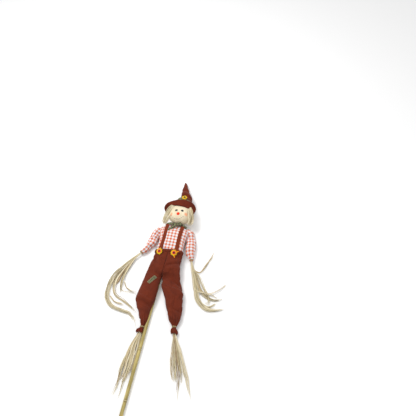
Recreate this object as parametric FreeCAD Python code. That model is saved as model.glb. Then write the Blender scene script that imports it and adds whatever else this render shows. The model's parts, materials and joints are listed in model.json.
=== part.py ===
"""Scarecrow figure of stuffed cloth and raffia on a bamboo cane, lying on its back.

Frame: +Z up from the floor, +Y towards the head, -Y towards the feet, face up.
Millimetres. Plan positions are measured from the point where the cane's axis
passes the crotch. At export everything moves so that the origin is on the
floor, in the middle of the footprint. Right and left are the wearer's own:
right is the -X side.
"""

import FreeCAD, Part
import os
from math import cos, sin, tau, radians

V = FreeCAD.Vector

# Footprint centre, from the crotch point.
CENTRE_X = 34.8
CENTRE_Y = -127.2

# Cloth and clearances.
CLOTH = 0.8
FILL_GAP = 0.4
LAY_GAP = 0.2
JOINT_GAP = 0.8
BODY_GAP = 0.6

# Bamboo cane: 12 mm culm, 900 mm long, swollen at each node.
CANE_R = 6.0
CANE_BORE_R = 3.4
CANE_NODE_R = 6.4
CANE_NODE_HALF = 4.0
CANE_SEPTUM = 3.0
CANE_Z = 8.5
CANE_END_Y = -698.0
CANE_TOP_Y = 202.0
CANE_NODES_Y = [-600.0, -434.0, -268.0, -100.0, 62.0]
CANE_SLOT_HALF = 7.0
CANE_SLOT_TOP = 15.0

# Joint centres.
SHOULDERS = {"right": V(-53, 188, 14.2), "left": V(71, 196, 14.2)}
SHOULDER_R = 17.0
ARM_SIDE_GAP = 0.5
WRISTS = {"right": V(-97, 84, 12), "left": V(100, 90, 12)}
WRIST_R = 6.0
ANKLES = {"right": V(-12.5, -194.0, 11.5), "left": V(96.6, -173.0, 11.5)}
ANKLE_R = 6.2
HIP_Y = 1.0
NECK = V(10, 220, 18)
NECK_R = 15.0
HAT_BEND = V(18, 352, 35)
HAT_BEND_R = 21.5

# Head.
HEAD_CENTRE = V(15, 268, 38)
HEAD_HALF = V(45, 41, 35)

# Waist of the trousers, which slopes a little across the body.
WAIST_SLOPE = V(-0.105, 0.994, 0)
WAIST_BAND_WIDTH = 9.0

# Straps and their sunflower buttons.
STRAP_WIDTH = 13.0
STRAP_THICK = 1.4
STRAP_X = {"right": -20.5, "left": 37.5}
FLOWERS = {"right": V(-21.5, 87.0, 0), "left": V(33.5, 90.0, 0)}
FLOWER_R = 12.8
FLOWER_PETALS = 14
FLOWER_THICK = 2.0
FLOWER_LEAN = 16.0
FLOWER_ROLL = {"right": -18.0, "left": 8.0}

SQUARE = 2.5
ROUND = 2.0
LOOP_POINTS = 16


# ---- Shapes that repeat ----

def oval(centre, across, half_width, half_height, power=ROUND):
    """Closed smooth loop standing upright, half_width along across."""
    points = []
    for i in range(LOOP_POINTS):
        angle = tau * (i + 0.5) / LOOP_POINTS
        c, s = cos(angle), sin(angle)
        a = half_width * abs(c) ** (2 / power) * (1 if c >= 0 else -1)
        u = half_height * abs(s) ** (2 / power) * (1 if s >= 0 else -1)
        points.append(centre + across * a + V(0, 0, u))
    curve = Part.BSplineCurve()
    curve.interpolate(points, PeriodicFlag=True)
    return Part.Wire(curve.toShape())


def loft(loops, ruled=False):
    """Closed solid through a row of loops, straight between them when ruled."""
    solid = Part.makeLoft(loops, True, ruled)
    return solid.reversed() if solid.Volume < 0 else solid


def straight(stations, by=0.0, power=ROUND, first_heading=None):
    """Solid through upright ovals across the body: (y, x_low, x_high, z_low, z_high).

    by draws every oval in. first_heading turns the first oval in plan.
    """
    loops = []
    for i, (y, x_low, x_high, z_low, z_high) in enumerate(stations):
        across = V(1, 0, 0)
        if i == 0 and first_heading:
            across = V(first_heading.y, -first_heading.x, 0)
        centre = V((x_low + x_high) / 2, y, (z_low + z_high) / 2)
        loops.append(
            oval(centre, across, (x_high - x_low) / 2 - by, (z_high - z_low) / 2 - by, power)
        )
    return loft(loops)


def limb(stations, by=0.0, ball=0.0, ruled=False):
    """Solid along a bent line of (x, y, z, half_width, half_height).

    With ball, the start is a round end of that radius about the first station.
    """
    places = [V(*s[:3]) for s in stations]
    headings = []
    for i in range(len(places)):
        step = places[min(i + 1, len(places) - 1)] - places[max(i - 1, 0)]
        headings.append(V(step.x, step.y, 0).normalize())
    loops = []
    for degrees in (14, 34, 54, 74) if ball else ():
        share = sin(radians(degrees))
        back = headings[0] * (-(ball - by) * cos(radians(degrees)))
        across = V(-headings[0].y, headings[0].x, 0)
        half_height = (stations[0][4] - by) * share
        loops.append(oval(places[0] + back, across, (ball - by) * share, half_height))
    for place, heading, station in zip(places, headings, stations):
        across = V(-heading.y, heading.x, 0)
        loops.append(oval(place, across, station[3] - by, station[4] - by))
    return loft(loops, ruled)


def ellipsoid(centre, half, by=0.0):
    """Solid ellipsoid, half its size along X, Y and Z."""
    stretch = FreeCAD.Matrix()
    stretch.scale(half.x - by, half.y - by, half.z - by)
    ball = Part.makeSphere(1.0).transformGeometry(stretch)
    ball.translate(centre)
    return ball


def post(centre, radius, low=-5.0, high=95.0):
    """Upright cylinder that cuts the seat of a joint turning about +Z."""
    return Part.makeCylinder(radius, high - low, V(centre.x, centre.y, low))


def slab(y_low, y_high):
    """Everything between two planes across the body."""
    return Part.makeBox(400, y_high - y_low, 120, V(-200, y_low, -10))


def cane_slot(extra=0.0):
    """Room for the cane, open to the floor, with a round top."""
    half = CANE_SLOT_HALF + extra
    top = CANE_SLOT_TOP + extra
    start_y = CANE_END_Y - 10
    length = CANE_TOP_Y + 3 - start_y
    block = Part.makeBox(2 * half, length, 5 + top - half, V(-half, start_y, -5))
    roof = Part.makeCylinder(half, length, V(0, start_y, top - half), V(0, 1, 0))
    return block.fuse(roof).removeSplitter()


def ribbon(line, low, high):
    """Flat bundle of straw: (x, y, half_width) along its middle, from low to high."""
    left, right = [], []
    for i, (x, y, half_width) in enumerate(line):
        before, after = line[max(i - 1, 0)], line[min(i + 1, len(line) - 1)]
        heading = V(after[0] - before[0], after[1] - before[1], 0).normalize()
        side = V(-heading.y, heading.x, 0) * half_width
        left.append(V(x, y, low) + side)
        right.append(V(x, y, low) - side)
    outline = Part.makePolygon(left + right[::-1] + left[:1])
    return Part.Face(outline).extrude(V(0, 0, high - low))


def joined(shapes):
    """One solid out of several that overlap."""
    whole = shapes[0]
    for shape in shapes[1:]:
        whole = whole.fuse(shape)
    return whole


def station_at(stations, y):
    """Station values at y, between two listed ones."""
    rows = sorted(stations)
    for low, high in zip(rows, rows[1:]):
        if low[0] <= y <= high[0]:
            t = (y - low[0]) / (high[0] - low[0])
            return [a + (b - a) * t for a, b in zip(low, high)]
    return rows[0] if y < rows[0][0] else rows[-1]


def top_of(stations, x, y, power):
    """Height of the upper surface of a straight() solid at a plan point."""
    _, x_low, x_high, z_low, z_high = station_at(stations, y)
    share = min(abs(x - (x_low + x_high) / 2) / ((x_high - x_low) / 2), 0.995)
    rise = (1 - share**power) ** (1 / power)
    return (z_low + z_high) / 2 + (z_high - z_low) / 2 * rise


parts = {}


# ---- Bamboo cane ----

def bamboo_cane():
    """Culm with swollen nodes, solid at each node and hollow between them."""
    axis = V(0, 1, 0)
    culm = Part.makeCylinder(CANE_R, CANE_TOP_Y - CANE_END_Y, V(0, CANE_END_Y, CANE_Z), axis)
    for y in CANE_NODES_Y:
        for side in (-1, 1):
            foot = V(0, y + side * CANE_NODE_HALF, CANE_Z)
            flare = Part.makeCone(
                CANE_R - 0.1, CANE_NODE_R, CANE_NODE_HALF, foot, V(0, -side, 0)
            )
            culm = culm.fuse(flare)
    walls = [CANE_END_Y - 20] + CANE_NODES_Y + [CANE_TOP_Y + 20]
    for near, far in zip(walls, walls[1:]):
        low, high = near + CANE_SEPTUM / 2, far - CANE_SEPTUM / 2
        culm = culm.cut(Part.makeCylinder(CANE_BORE_R, high - low, V(0, low, CANE_Z), axis))
    return culm.removeSplitter()


parts["bamboo_cane"] = bamboo_cane()


# ---- Shape of the sleeves, which the shirt makes room for ----

SLEEVES = {
    "right": [
        (-53, 188, 14.2, 17, 13.8),
        (-63.5, 155, 14.2, 17.5, 14),
        (-69, 129, 13.5, 15.8, 13),
        (-78, 109, 12, 11, 10),
        (-88, 94, 12, 7.8, 7.8),
        (-92.5, 89, 12, 6.7, 6.7),
        (-97, 84, 12, WRIST_R, WRIST_R),
    ],
    "left": [
        (71, 196, 14.2, 17, 13.8),
        (79, 165, 14.2, 17.5, 14),
        (84, 138, 13.5, 18.5, 13.3),
        (88, 118, 12.5, 16, 11.5),
        (94, 102, 12, 9.5, 8.5),
        (97, 96, 12, 7.2, 7.0),
        (100, 90, 12, WRIST_R, WRIST_R),
    ],
}

# ---- Shirt body and torso stuffing ----

SHIRT = [
    (84, -38.5, 60, 1.2, 42),
    (104, -38.5, 60, 1.1, 43.5),
    (114, -39, 60.5, 0.6, 45),
    (150, -40, 60, 0.4, 46),
    (185, -47, 65, 0.4, 46),
    (204, -44, 62, 1.0, 40),
    (214, -28, 48, 2.5, 34),
    (219, -14, 34, 4, 29),
]


def shirt_seats(extra=0.0):
    """Upright hollows in the shirt where the arms and the neck turn."""
    seats = post(NECK, NECK_R + JOINT_GAP + extra, low=4.0 - extra)
    gap = JOINT_GAP + ARM_SIDE_GAP + extra
    for side, stations in SLEEVES.items():
        seats = seats.fuse(post(SHOULDERS[side], SHOULDER_R + JOINT_GAP + extra))
        line = [(x, y, half_width + gap) for x, y, _, half_width, _ in stations[:3]]
        seats = seats.fuse(ribbon(line, -5.0, 95.0))
    return seats


shirt_outer = straight(SHIRT, power=SQUARE)
shirt_room = straight(SHIRT, CLOTH, SQUARE).cut(shirt_seats(CLOTH))
parts["shirt_body"] = shirt_outer.cut(shirt_seats()).cut(shirt_room)
torso_fill = straight(SHIRT, CLOTH + FILL_GAP, SQUARE).cut(shirt_seats(CLOTH + FILL_GAP))
parts["torso_stuffing"] = torso_fill.cut(cane_slot())


# ---- Trouser seat, its hem and stuffing ----

SEAT = [
    (103.5, -41.5, 63, 0.2, 47),
    (75, -43.5, 64.5, 0.2, 47),
    (40, -46.5, 67, 0.2, 45),
    (15, -49.5, 74, 0.2, 41),
    (HIP_Y, -51, 80, 0.2, 36.5),
]


def seat(by=0.0):
    return straight(SEAT, by, SQUARE, WAIST_SLOPE)


parts["trouser_seat"] = seat().cut(seat(CLOTH))
fill_end_y = SHIRT[0][0] - 1.0
parts["seat_stuffing"] = (
    seat(CLOTH + FILL_GAP).common(slab(HIP_Y + 1.0, fill_end_y)).cut(cane_slot())
)


def waistband():
    """Turned hem round the top of the trousers, lying on the seat's cloth."""
    y, x_low, x_high, z_low, z_high = SEAT[0]
    rows = [
        (y - 0.5, x_low - 1.4, x_high + 1.4, z_low, z_high + 1.6),
        (y - WAIST_BAND_WIDTH, x_low - 2.0, x_high + 2.0, z_low, z_high + 1.6),
    ]
    tilt = WAIST_SLOPE
    loops = []
    for row_y, low, high, z0, z1 in rows:
        centre = V((low + high) / 2, row_y, (z0 + z1) / 2)
        across = V(tilt.y, -tilt.x, 0)
        loops.append(oval(centre, across, (high - low) / 2, (z1 - z0) / 2, SQUARE))
    return loft(loops).cut(seat(-LAY_GAP)).common(slab(0, 130))


band = waistband()
parts["waistband"] = band


# ---- Straps ----

def strap(side):
    """Flat band over the chest from the waist to the shoulder seam."""
    x = STRAP_X[side]
    loops = []
    for y in (96, 110, 125, 145, 165, 185, 198, 207, 213):
        corners = []
        for dx, up in ((-1, 0), (1, 0), (1, 1), (-1, 1)):
            place = x + dx * STRAP_WIDTH / 2
            surface = max(top_of(SHIRT, place, y, SQUARE), top_of(SHIRT, place, y - 3, SQUARE))
            if y < 112:
                surface = top_of(SEAT, place, 95, SQUARE) + 2.6
            corners.append(V(place, y, surface + LAY_GAP + up * STRAP_THICK))
        loops.append(Part.Wire(Part.makePolygon(corners + corners[:1])))
    return loft(loops).cut(shirt_outer).cut(band)


for side in STRAP_X:
    parts["suspender_" + side] = strap(side)


# ---- Sunflower buttons ----

def placed_flower(shape, side, lift):
    """A shape drawn flat about the origin, set on the waist with its lean."""
    where = FLOWERS[side]
    surface = top_of(SEAT, where.x, where.y, SQUARE)
    shape = shape.copy()
    shape.translate(V(0, 0, lift))
    shape.rotate(V(0, 0, 0), V(1, 0, 0), FLOWER_LEAN)
    shape.rotate(V(0, 0, 0), V(0, 1, 0), FLOWER_ROLL[side])
    shape.translate(V(where.x, where.y, surface + 6.2))
    return shape


def petals(radius, count, thick):
    """Ring of pointed petals joined at the middle."""
    shapes = [Part.makeCylinder(radius * 0.62, thick)]
    for i in range(count):
        angle = tau * i / count
        root, tip = V(radius * 0.4, 0, 0), V(radius, 0, 0)
        width = V(0, radius * 0.19, 0)
        middle = (root + tip) * 0.5
        edges = [
            Part.Arc(root, middle + width, tip).toShape(),
            Part.Arc(tip, middle - width, root).toShape(),
        ]
        petal = Part.Face(Part.Wire(edges)).extrude(V(0, 0, thick))
        petal.rotate(V(0, 0, 0), V(0, 0, 1), angle * 360 / tau)
        shapes.append(petal)
    return joined(shapes)


def ring(outer, inner, height):
    return Part.makeCylinder(outer, height).cut(Part.makeCylinder(inner, height))


for side in FLOWERS:
    flower = petals(FLOWER_R, FLOWER_PETALS, FLOWER_THICK)
    parts["sunflower_petals_" + side] = placed_flower(flower, side, 0)
    felt = ring(FLOWER_R * 0.52, FLOWER_R * 0.26, 1.2)
    parts["sunflower_ring_" + side] = placed_flower(felt, side, FLOWER_THICK)
    bead = Part.makeSphere(FLOWER_R * 0.25).common(Part.makeBox(20, 20, 20, V(-10, -10, 0)))
    parts["sunflower_centre_" + side] = placed_flower(bead, side, FLOWER_THICK)


def leaf_pair():
    """Two felt leaves that show past the left flower, towards its side and its foot."""
    leaves = []
    for degrees, length in ((32, 21.0), (-68, 19.0)):
        root, tip, side_way = V(2, 0, 0), V(length, 0, 0), V(0, 3.6, 0)
        middle = (root + tip) * 0.55
        edges = [
            Part.Arc(root, middle + side_way, tip).toShape(),
            Part.Arc(tip, middle - side_way, root).toShape(),
        ]
        leaf = Part.Face(Part.Wire(edges)).extrude(V(0, 0, 1.0))
        leaf.rotate(V(0, 0, 0), V(0, 0, 1), degrees)
        leaves.append(leaf)
    core = Part.makeCylinder(4.0, 1.0)
    return joined([core] + leaves)


parts["leaf_pair_left"] = placed_flower(leaf_pair(), "left", -1.2)


# ---- Neckerchief ----

KERCHIEF = [
    (213.5, -31, 50, 0.5, 41),
    (219, -33, 52, 0.5, 44),
    (224.5, -31, 50, 1, 43),
]
KERCHIEF_THICK = 6.0
kerchief = straight(KERCHIEF).cut(straight(KERCHIEF, KERCHIEF_THICK)).cut(
    straight(SHIRT, -LAY_GAP, SQUARE)
)
knot = ellipsoid(V(24, 219, 46.5), V(9, 6.5, 5.0))
parts["neckerchief_band"] = kerchief.cut(ellipsoid(V(24, 219, 46.5), V(9.2, 6.7, 5.2)))
parts["neckerchief_knot"] = knot.cut(parts["suspender_left"])
tail_line = [(20, 217, 3.5), (7, 207, 5.0), (-6, 193, 5.5), (-13, 184, 3.0)]
tail = ribbon(tail_line, 47.0, 48.6).cut(knot)
parts["neckerchief_tails"] = tail.cut(kerchief)


# ---- Trouser legs ----

LEGS = {
    "right": [
        (HIP_Y - BODY_GAP, -51, 6, 0.1, 35),
        (-24, -53, 7.5, 0.1, 36),
        (-58, -57.5, 10.5, 0.2, 37),
        (-90, -60, 9.6, 0.4, 36),
        (-114, -53, 6.5, 0.6, 33),
        (-138, -40, 3.3, 1.0, 29.5),
        (-155, -32.7, 1.2, 1.6, 26),
        (-172, -25, -2, 2.8, 22),
        (-186, -19.2, -5.4, 4.5, 18.5),
        (-193.6, -18.7, -6.3, 5.3, 17.7),
    ],
    "left": [
        (HIP_Y - BODY_GAP, 9.5, 79.5, 0.1, 35),
        (-24, 14.8, 93, 0.1, 36),
        (-50, 24, 99.8, 0.1, 36.5),
        (-75, 34, 104, 0.1, 36),
        (-102, 46.3, 108.5, 0.1, 34),
        (-130, 61, 110, 0.4, 30),
        (-148, 72.5, 108.6, 1.5, 25),
        (-162, 84, 104.8, 4, 20),
        (-172.6, 90.4, 102.8, 5.3, 17.7),
    ],
}
for side, stations in LEGS.items():
    outer = straight(stations)
    room = straight(stations, CLOTH)
    fill = straight(stations, CLOTH + FILL_GAP)
    fill = fill.common(slab(ANKLES[side].y + ANKLE_R + 1.0, HIP_Y - BODY_GAP - 1.0))
    if side == "right":
        outer = outer.cut(cane_slot())
        room = room.cut(cane_slot(CLOTH))
        fill = fill.cut(cane_slot(CLOTH + FILL_GAP))
    parts["trouser_leg_" + side] = outer.cut(room)
    parts["leg_stuffing_" + side] = fill
    end_y = stations[-1][0]
    tie = Part.makeCylinder(
        ANKLE_R + 1.3, 2.6, V(ANKLES[side].x, end_y + 0.4, ANKLES[side].z), V(0, 1, 0)
    )
    tie = tie.cut(straight(stations, -0.1))
    if side == "right":
        tie = tie.cut(cane_slot())
    parts["ankle_tie_" + side] = tie


def thigh_patch():
    """Small plaid patch stitched on the right thigh, following its curve."""
    stations = LEGS["right"]
    skin = straight(stations, -LAY_GAP - CLOTH).cut(straight(stations, -LAY_GAP))
    cutter = Part.makeBox(12, 36, 40, V(-6, -18, 20))
    cutter.rotate(V(0, 0, 0), V(0, 0, 1), -34)
    cutter.translate(V(-21, -23, 0))
    return skin.common(cutter)


parts["thigh_patch"] = thigh_patch()


# ---- Feet: frills and raffia ----

FRILLS = {
    "right": [
        (-196.5, -18.9, -7.6, 5.4, 17.6),
        (-201, -24.5, -7.8, 3.0, 19.5),
        (-208, -29, -7.8, 1.0, 20),
        (-213.5, -27.5, -8.5, 1.5, 19),
    ],
    "left": [
        (-175.5, 90.8, 103.6, 5.4, 17.6),
        (-181, 88.5, 108, 3.0, 19.5),
        (-189, 89.5, 112.5, 1.0, 20),
        (-194.5, 92, 112.5, 2.0, 19),
    ],
}
FOOT_STRAW = {
    "right": [
        (-12.5, -194, 11.5, 4.6, 4.6),
        (-15.5, -206, 11, 5.0, 4.8),
        (-18, -218, 9.5, 6.5, 5.5),
        (-22, -236, 7.5, 11, 6.5),
        (-25.5, -260, 7, 15.5, 6.5),
        (-27, -318, 6.5, 18, 6),
        (-29, -372, 6, 19, 5.5),
        (-30, -386, 5.8, 15, 4),
    ],
    "left": [
        (96.6, -173, 11.5, 4.6, 4.6),
        (99, -185, 11, 5.0, 4.8),
        (103, -198, 9.5, 7, 5.5),
        (110, -214, 7.5, 11, 6.5),
        (118, -236, 7, 16, 6.5),
        (137, -290, 6.5, 22, 6),
        (155, -340, 6, 24, 5.5),
        (160, -353, 5.8, 20, 4),
    ],
}
FOOT_STRAYS = {
    "right": [
        [(-34, -378, 1.8), (-42, -415, 1.6), (-54, -452, 1.2)],
        [(-24, -378, 1.8), (-22, -410, 1.6), (-28, -440, 1.2)],
    ],
    "left": [
        [(150, -345, 1.8), (160, -385, 1.6), (163, -420, 1.2)],
        [(168, -340, 1.8), (186, -370, 1.6), (206, -398, 1.2)],
    ],
}
STRAY_Z = (3.5, 7.5)
for side, stations in FRILLS.items():
    parts["ankle_frill_" + side] = straight(stations).cut(straight(stations, CLOTH))
    bundle = limb(FOOT_STRAW[side], ball=4.6, ruled=True)
    strays = [ribbon(line, *STRAY_Z) for line in FOOT_STRAYS[side]]
    parts["foot_straw_" + side] = joined([bundle] + strays)


# ---- Arms: sleeves and the raffia inside ----

for side, stations in SLEEVES.items():
    sleeve = limb(stations, ball=SHOULDER_R)
    room = limb(stations, CLOTH, SHOULDER_R)
    parts["sleeve_" + side] = sleeve.cut(room)
    core = [(x, y, z, 5.5, 4.5) for x, y, z, _, _ in stations[:-1]]
    core[-1] = (*stations[-2][:3], 4.0, 4.0)
    parts["arm_straw_" + side] = limb(core)
    wrist = WRISTS[side]
    step = wrist - V(*stations[-2][:3])
    way = V(step.x, step.y, 0).normalize()
    tie = Part.makeCylinder(WRIST_R + 1.4, 2.4, wrist - way * 3.2, way)
    parts["wrist_tie_" + side] = tie.cut(limb(stations, -0.1, SHOULDER_R))


# ---- Hands: raffia ----

HAND_STEM = {
    "right": [
        (-97, 84, 12, 4.5, 4.5),
        (-105, 75, 11, 5.2, 5.0),
        (-116, 62, 9, 7.5, 5.5),
        (-127, 49, 7, 10, 6.0),
    ],
    "left": [
        (100, 90, 12, 4.5, 4.5),
        (103, 79, 11, 5.2, 5.0),
        (109, 62, 9, 7.5, 5.5),
        (115, 46, 7, 9, 6.0),
    ],
}
HAND_BUNDLES = {
    "right": [
        [
            (-122, 54, 6), (-146, 24, 10), (-166, -14, 12), (-177, -54, 12), (-178, -92, 8),
            (-163, -122, 8), (-134, -143, 8), (-100, -149, 6), (-70, -157, 5), (-50, -177, 4),
            (-38, -203, 3),
        ],
        [(-121, 55, 6), (-130, 28, 9), (-136, -10, 9), (-137, -48, 6), (-131, -82, 4)],
    ],
    "left": [
        [
            (112, 52, 6), (126, 15, 10), (139, -22, 11), (152, -54, 12), (174, -76, 11),
            (205, -86, 9), (234, -81, 6), (257, -70, 3),
        ],
        [(114, 50, 6), (138, 18, 6), (160, -16, 6), (182, -42, 6), (198, -62, 5), (206, -80, 4)],
    ],
}
HAND_STRAYS = {
    "right": [
        [(-134, -62, 2), (-112, -78, 1.8), (-90, -84, 1.6), (-68, -84, 1.3)],
        [(-172, -82, 2), (-140, -106, 2), (-100, -124, 1.8), (-74, -146, 1.6)],
    ],
    "left": [
        [(132, 36, 2), (148, 70, 2), (166, 112, 1.8), (182, 150, 1.2)],
        [(178, -40, 2), (205, -46, 2), (232, -42, 1.6), (247, -34, 1.2)],
    ],
}
STRAW_Z = (1.0, 12.0)
for side, stem in HAND_STEM.items():
    pieces = [limb(stem, ball=4.5, ruled=True)]
    pieces += [ribbon(line, *STRAW_Z) for line in HAND_BUNDLES[side]]
    pieces += [ribbon(line, *STRAY_Z) for line in HAND_STRAYS[side]]
    parts["hand_straw_" + side] = joined(pieces)


# ---- Head ----

head_outer = ellipsoid(HEAD_CENTRE, HEAD_HALF)
parts["head_cover"] = head_outer.cut(ellipsoid(HEAD_CENTRE, HEAD_HALF, CLOTH))
parts["head_stuffing"] = ellipsoid(HEAD_CENTRE, HEAD_HALF, CLOTH + FILL_GAP)
neck_line = [(10, 220, 18, NECK_R, 10.8), (11, 228, 22, 15, 13), (13, 240, 28, 17, 14)]
parts["neck_gather"] = limb(neck_line, ball=NECK_R).cut(ellipsoid(HEAD_CENTRE, HEAD_HALF, -0.1))


def face_trim(x, y, half_x, half_y, thick=0.8):
    """Thin shape laid on the face, following its curve."""
    skin = ellipsoid(HEAD_CENTRE, HEAD_HALF, -0.1 - thick).cut(
        ellipsoid(HEAD_CENTRE, HEAD_HALF, -0.1)
    )
    stretch = FreeCAD.Matrix()
    stretch.scale(half_x, half_y, 1.0)
    cutter = Part.makeCylinder(1.0, 60, V(0, 0, 50)).transformGeometry(stretch)
    cutter.translate(V(x, y, 0))
    return skin.common(cutter)


parts["eye_right"] = face_trim(2.5, 263.5, 5.5, 4.6)
parts["eye_left"] = face_trim(25.5, 265.5, 5.5, 4.6)
parts["nose"] = face_trim(12, 250.5, 6.2, 5.4, 1.2)

# Raffia hair, one bunch on each side of the face.
HAIR = {
    "right": [
        (-19, 282, 64, 8, 3), (-21, 271, 63, 9.5, 4), (-28, 250, 56, 10.5, 4.5),
        (-36, 228, 47, 10, 4.5), (-37, 207, 43, 8, 4),
    ],
    "left": [
        (49, 283, 62, 10, 3), (53, 275, 59, 11, 4), (58, 263, 55, 12, 4.5),
        (62, 242, 48, 11, 4.5), (62, 217, 42.5, 7, 4),
    ],
}
for side, stations in HAIR.items():
    bunch = limb(stations)
    parts["hair_" + side] = bunch.cut(ellipsoid(HEAD_CENTRE, HEAD_HALF, -0.3))


# ---- Hat ----

CROWN = [
    (286, -32, 60, 2.4, 74.5),
    (298, -27, 57, 5, 71.5),
    (309, -20, 53, 9, 67.5),
    (322, -13, 50, 13, 62.5),
    (344, -4, 47, 18, 54),
]
HAT_TIP = [
    (18, 352, 35, HAT_BEND_R, 16),
    (12.5, 370, 31, 17.5, 13.5),
    (5.5, 400, 22, 12, 10),
    (0, 426, 14, 6.5, 6.5),
    (-5.5, 443, 8.5, 2.2, 2.4),
]
hat_seat = post(HAT_BEND, HAT_BEND_R + JOINT_GAP)
parts["hat_crown"] = straight(CROWN).cut(straight(CROWN, CLOTH)).cut(hat_seat)
parts["hat_tip"] = limb(HAT_TIP, ball=HAT_BEND_R).cut(limb(HAT_TIP, CLOTH, HAT_BEND_R))
hat_band = straight(CROWN, -LAY_GAP - 0.9).cut(straight(CROWN, -LAY_GAP))
parts["hat_band"] = hat_band.common(slab(314, 330))

BRIM_POINTS = 20
BRIM_THICK = 1.8


def brim_loop(reach, forward):
    """One closed edge of the brim; reach runs from 0 at the crown to 1 at the rim."""
    points = []
    for i in range(BRIM_POINTS):
        angle = tau * (i + 0.5) / BRIM_POINTS
        s, c = sin(angle), cos(angle)
        inner = V(14 + 46.8 * s, 286, 38.2 + 37.0 * c)
        rim_y = 262 + 47 * (0.5 + 0.5 * c) ** 0.7 + 9 * s
        rim = V(9 + 63 * s, rim_y, 41 + (37 if c > 0 else 39.9) * c)
        place = inner + (rim - inner) * reach
        points.append(place + V(0, forward, 0))
    curve = Part.BSplineCurve()
    curve.interpolate(points, PeriodicFlag=True)
    return Part.Wire(curve.toShape())


def hat_brim():
    """Wide soft brim, turned up round the face and trapped under the head."""
    front = [brim_loop(r, 0) for r in (1.0, 0.0)]
    back = [brim_loop(r, BRIM_THICK) for r in (0.0, 1.0)]
    shell = Part.makeLoft(front + back + front[:1], True, True)
    return shell


brim = hat_brim()
parts["hat_brim"] = brim
blossom = petals(11.0, 12, 1.6)
blossom.rotate(V(0, 0, 0), V(1, 0, 0), -12)
blossom.translate(V(19, 330, 65.5))
parts["hat_flower_petals"] = blossom
bead = Part.makeSphere(3.6).common(Part.makeBox(20, 20, 20, V(-10, -10, 0)))
bead.rotate(V(0, 0, 0), V(1, 0, 0), -12)
bead.translate(V(19, 330.4, 67.1))
parts["hat_flower_centre"] = bead


if __name__ == "__main__":
    os.makedirs("parts", exist_ok=True)
    for name, shape in parts.items():
        shape = shape.copy()
        shape.translate(V(-CENTRE_X, -CENTRE_Y, 0))
        shape.exportStep("parts/" + name + ".step")
        box = shape.BoundBox
        print(
            f"{name:26s} solids {len(shape.Solids)} valid {shape.isValid()} volume {shape.Volume / 1000:7.2f}"
            f"  x {box.XMin:7.1f} {box.XMax:7.1f}  y {box.YMin:7.1f} {box.YMax:7.1f}  z {box.ZMin:6.2f} {box.ZMax:6.2f}"
        )
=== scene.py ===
"""Looks of the stuffed scarecrow figure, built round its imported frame.

Sizes and places in the tables are millimetres in the figure's own plan: X across,
Y along the cane with 0 at the crotch, Z up from the floor. The wearer's right is -X.
"""

import json
from math import cos, pi, radians, sin, tau

import bpy
import numpy as np
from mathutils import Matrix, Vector, noise
from mathutils.bvhtree import BVHTree

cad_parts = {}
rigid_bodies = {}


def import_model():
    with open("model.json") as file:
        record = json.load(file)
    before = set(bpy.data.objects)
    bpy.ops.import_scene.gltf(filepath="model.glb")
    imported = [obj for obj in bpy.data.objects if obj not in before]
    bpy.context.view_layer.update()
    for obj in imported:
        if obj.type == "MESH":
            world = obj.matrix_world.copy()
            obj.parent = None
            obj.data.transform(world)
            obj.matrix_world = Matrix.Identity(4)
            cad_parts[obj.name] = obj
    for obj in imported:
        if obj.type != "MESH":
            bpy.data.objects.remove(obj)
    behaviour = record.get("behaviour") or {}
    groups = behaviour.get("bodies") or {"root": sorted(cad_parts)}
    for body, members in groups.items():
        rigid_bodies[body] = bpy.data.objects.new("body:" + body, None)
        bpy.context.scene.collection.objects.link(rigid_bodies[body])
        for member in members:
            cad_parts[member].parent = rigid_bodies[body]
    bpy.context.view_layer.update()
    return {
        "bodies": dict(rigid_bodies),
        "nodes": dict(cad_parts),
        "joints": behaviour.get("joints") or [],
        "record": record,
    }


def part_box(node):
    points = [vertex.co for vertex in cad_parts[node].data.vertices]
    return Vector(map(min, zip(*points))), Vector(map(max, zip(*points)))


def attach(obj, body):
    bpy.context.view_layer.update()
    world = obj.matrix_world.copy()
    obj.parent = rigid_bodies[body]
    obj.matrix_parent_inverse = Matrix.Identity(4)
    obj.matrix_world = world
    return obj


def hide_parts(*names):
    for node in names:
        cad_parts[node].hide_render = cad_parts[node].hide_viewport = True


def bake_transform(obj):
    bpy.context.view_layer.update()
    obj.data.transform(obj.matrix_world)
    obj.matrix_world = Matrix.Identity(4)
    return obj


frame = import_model()

# ---- Where the figure's own plan sits in the frame ----

CANE_END_Y = -698.0
cane_low, cane_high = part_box("bamboo_cane")
ORIGIN = np.array([(cane_low[0] + cane_high[0]) / 2, cane_low[1] - CANE_END_Y / 1000, 0.0])

# ---- Shared shapes of the cloth bags, close to the solids they stand for ----

SQUARE = 2.5
SEAT = [
    (103.5, -41.5, 63, 0.4, 47), (75, -43.5, 64.5, 0.3, 47), (40, -46.5, 67, 0.3, 45),
    (15, -49.5, 74, 0.3, 41), (1, -51, 80, 0.3, 36.5), (-12, -52, 86, 0.3, 36),
]
LEGS = {
    "right": [
        (20, -49, 7, 0.3, 36), (0.4, -51, 6.6, 0.3, 35), (-24, -53, 7.5, 0.3, 36),
        (-58, -57.5, 10.5, 0.3, 37), (-90, -60, 9.6, 0.3, 36), (-114, -53, 6.5, 0.5, 33),
        (-138, -40, 3.3, 1.0, 29.5), (-155, -32.7, 1.2, 1.4, 26), (-172, -25, -2, 2.5, 22),
        (-186, -19.2, -5.4, 4.5, 18.5), (-193.6, -18.7, -6.3, 5.3, 17.7),
    ],
    "left": [
        (20, 8, 74, 0.3, 36), (0.4, 9.0, 79.5, 0.3, 35), (-24, 14.8, 93, 0.3, 36),
        (-50, 24, 99.8, 0.3, 36.5), (-75, 34, 104, 0.3, 36), (-102, 46.3, 108.5, 0.3, 34),
        (-130, 61, 110, 0.6, 30), (-148, 72.5, 108.6, 1.5, 25), (-162, 84, 104.8, 4, 20),
        (-172.6, 90.4, 102.8, 5.3, 17.7),
    ],
}
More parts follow.
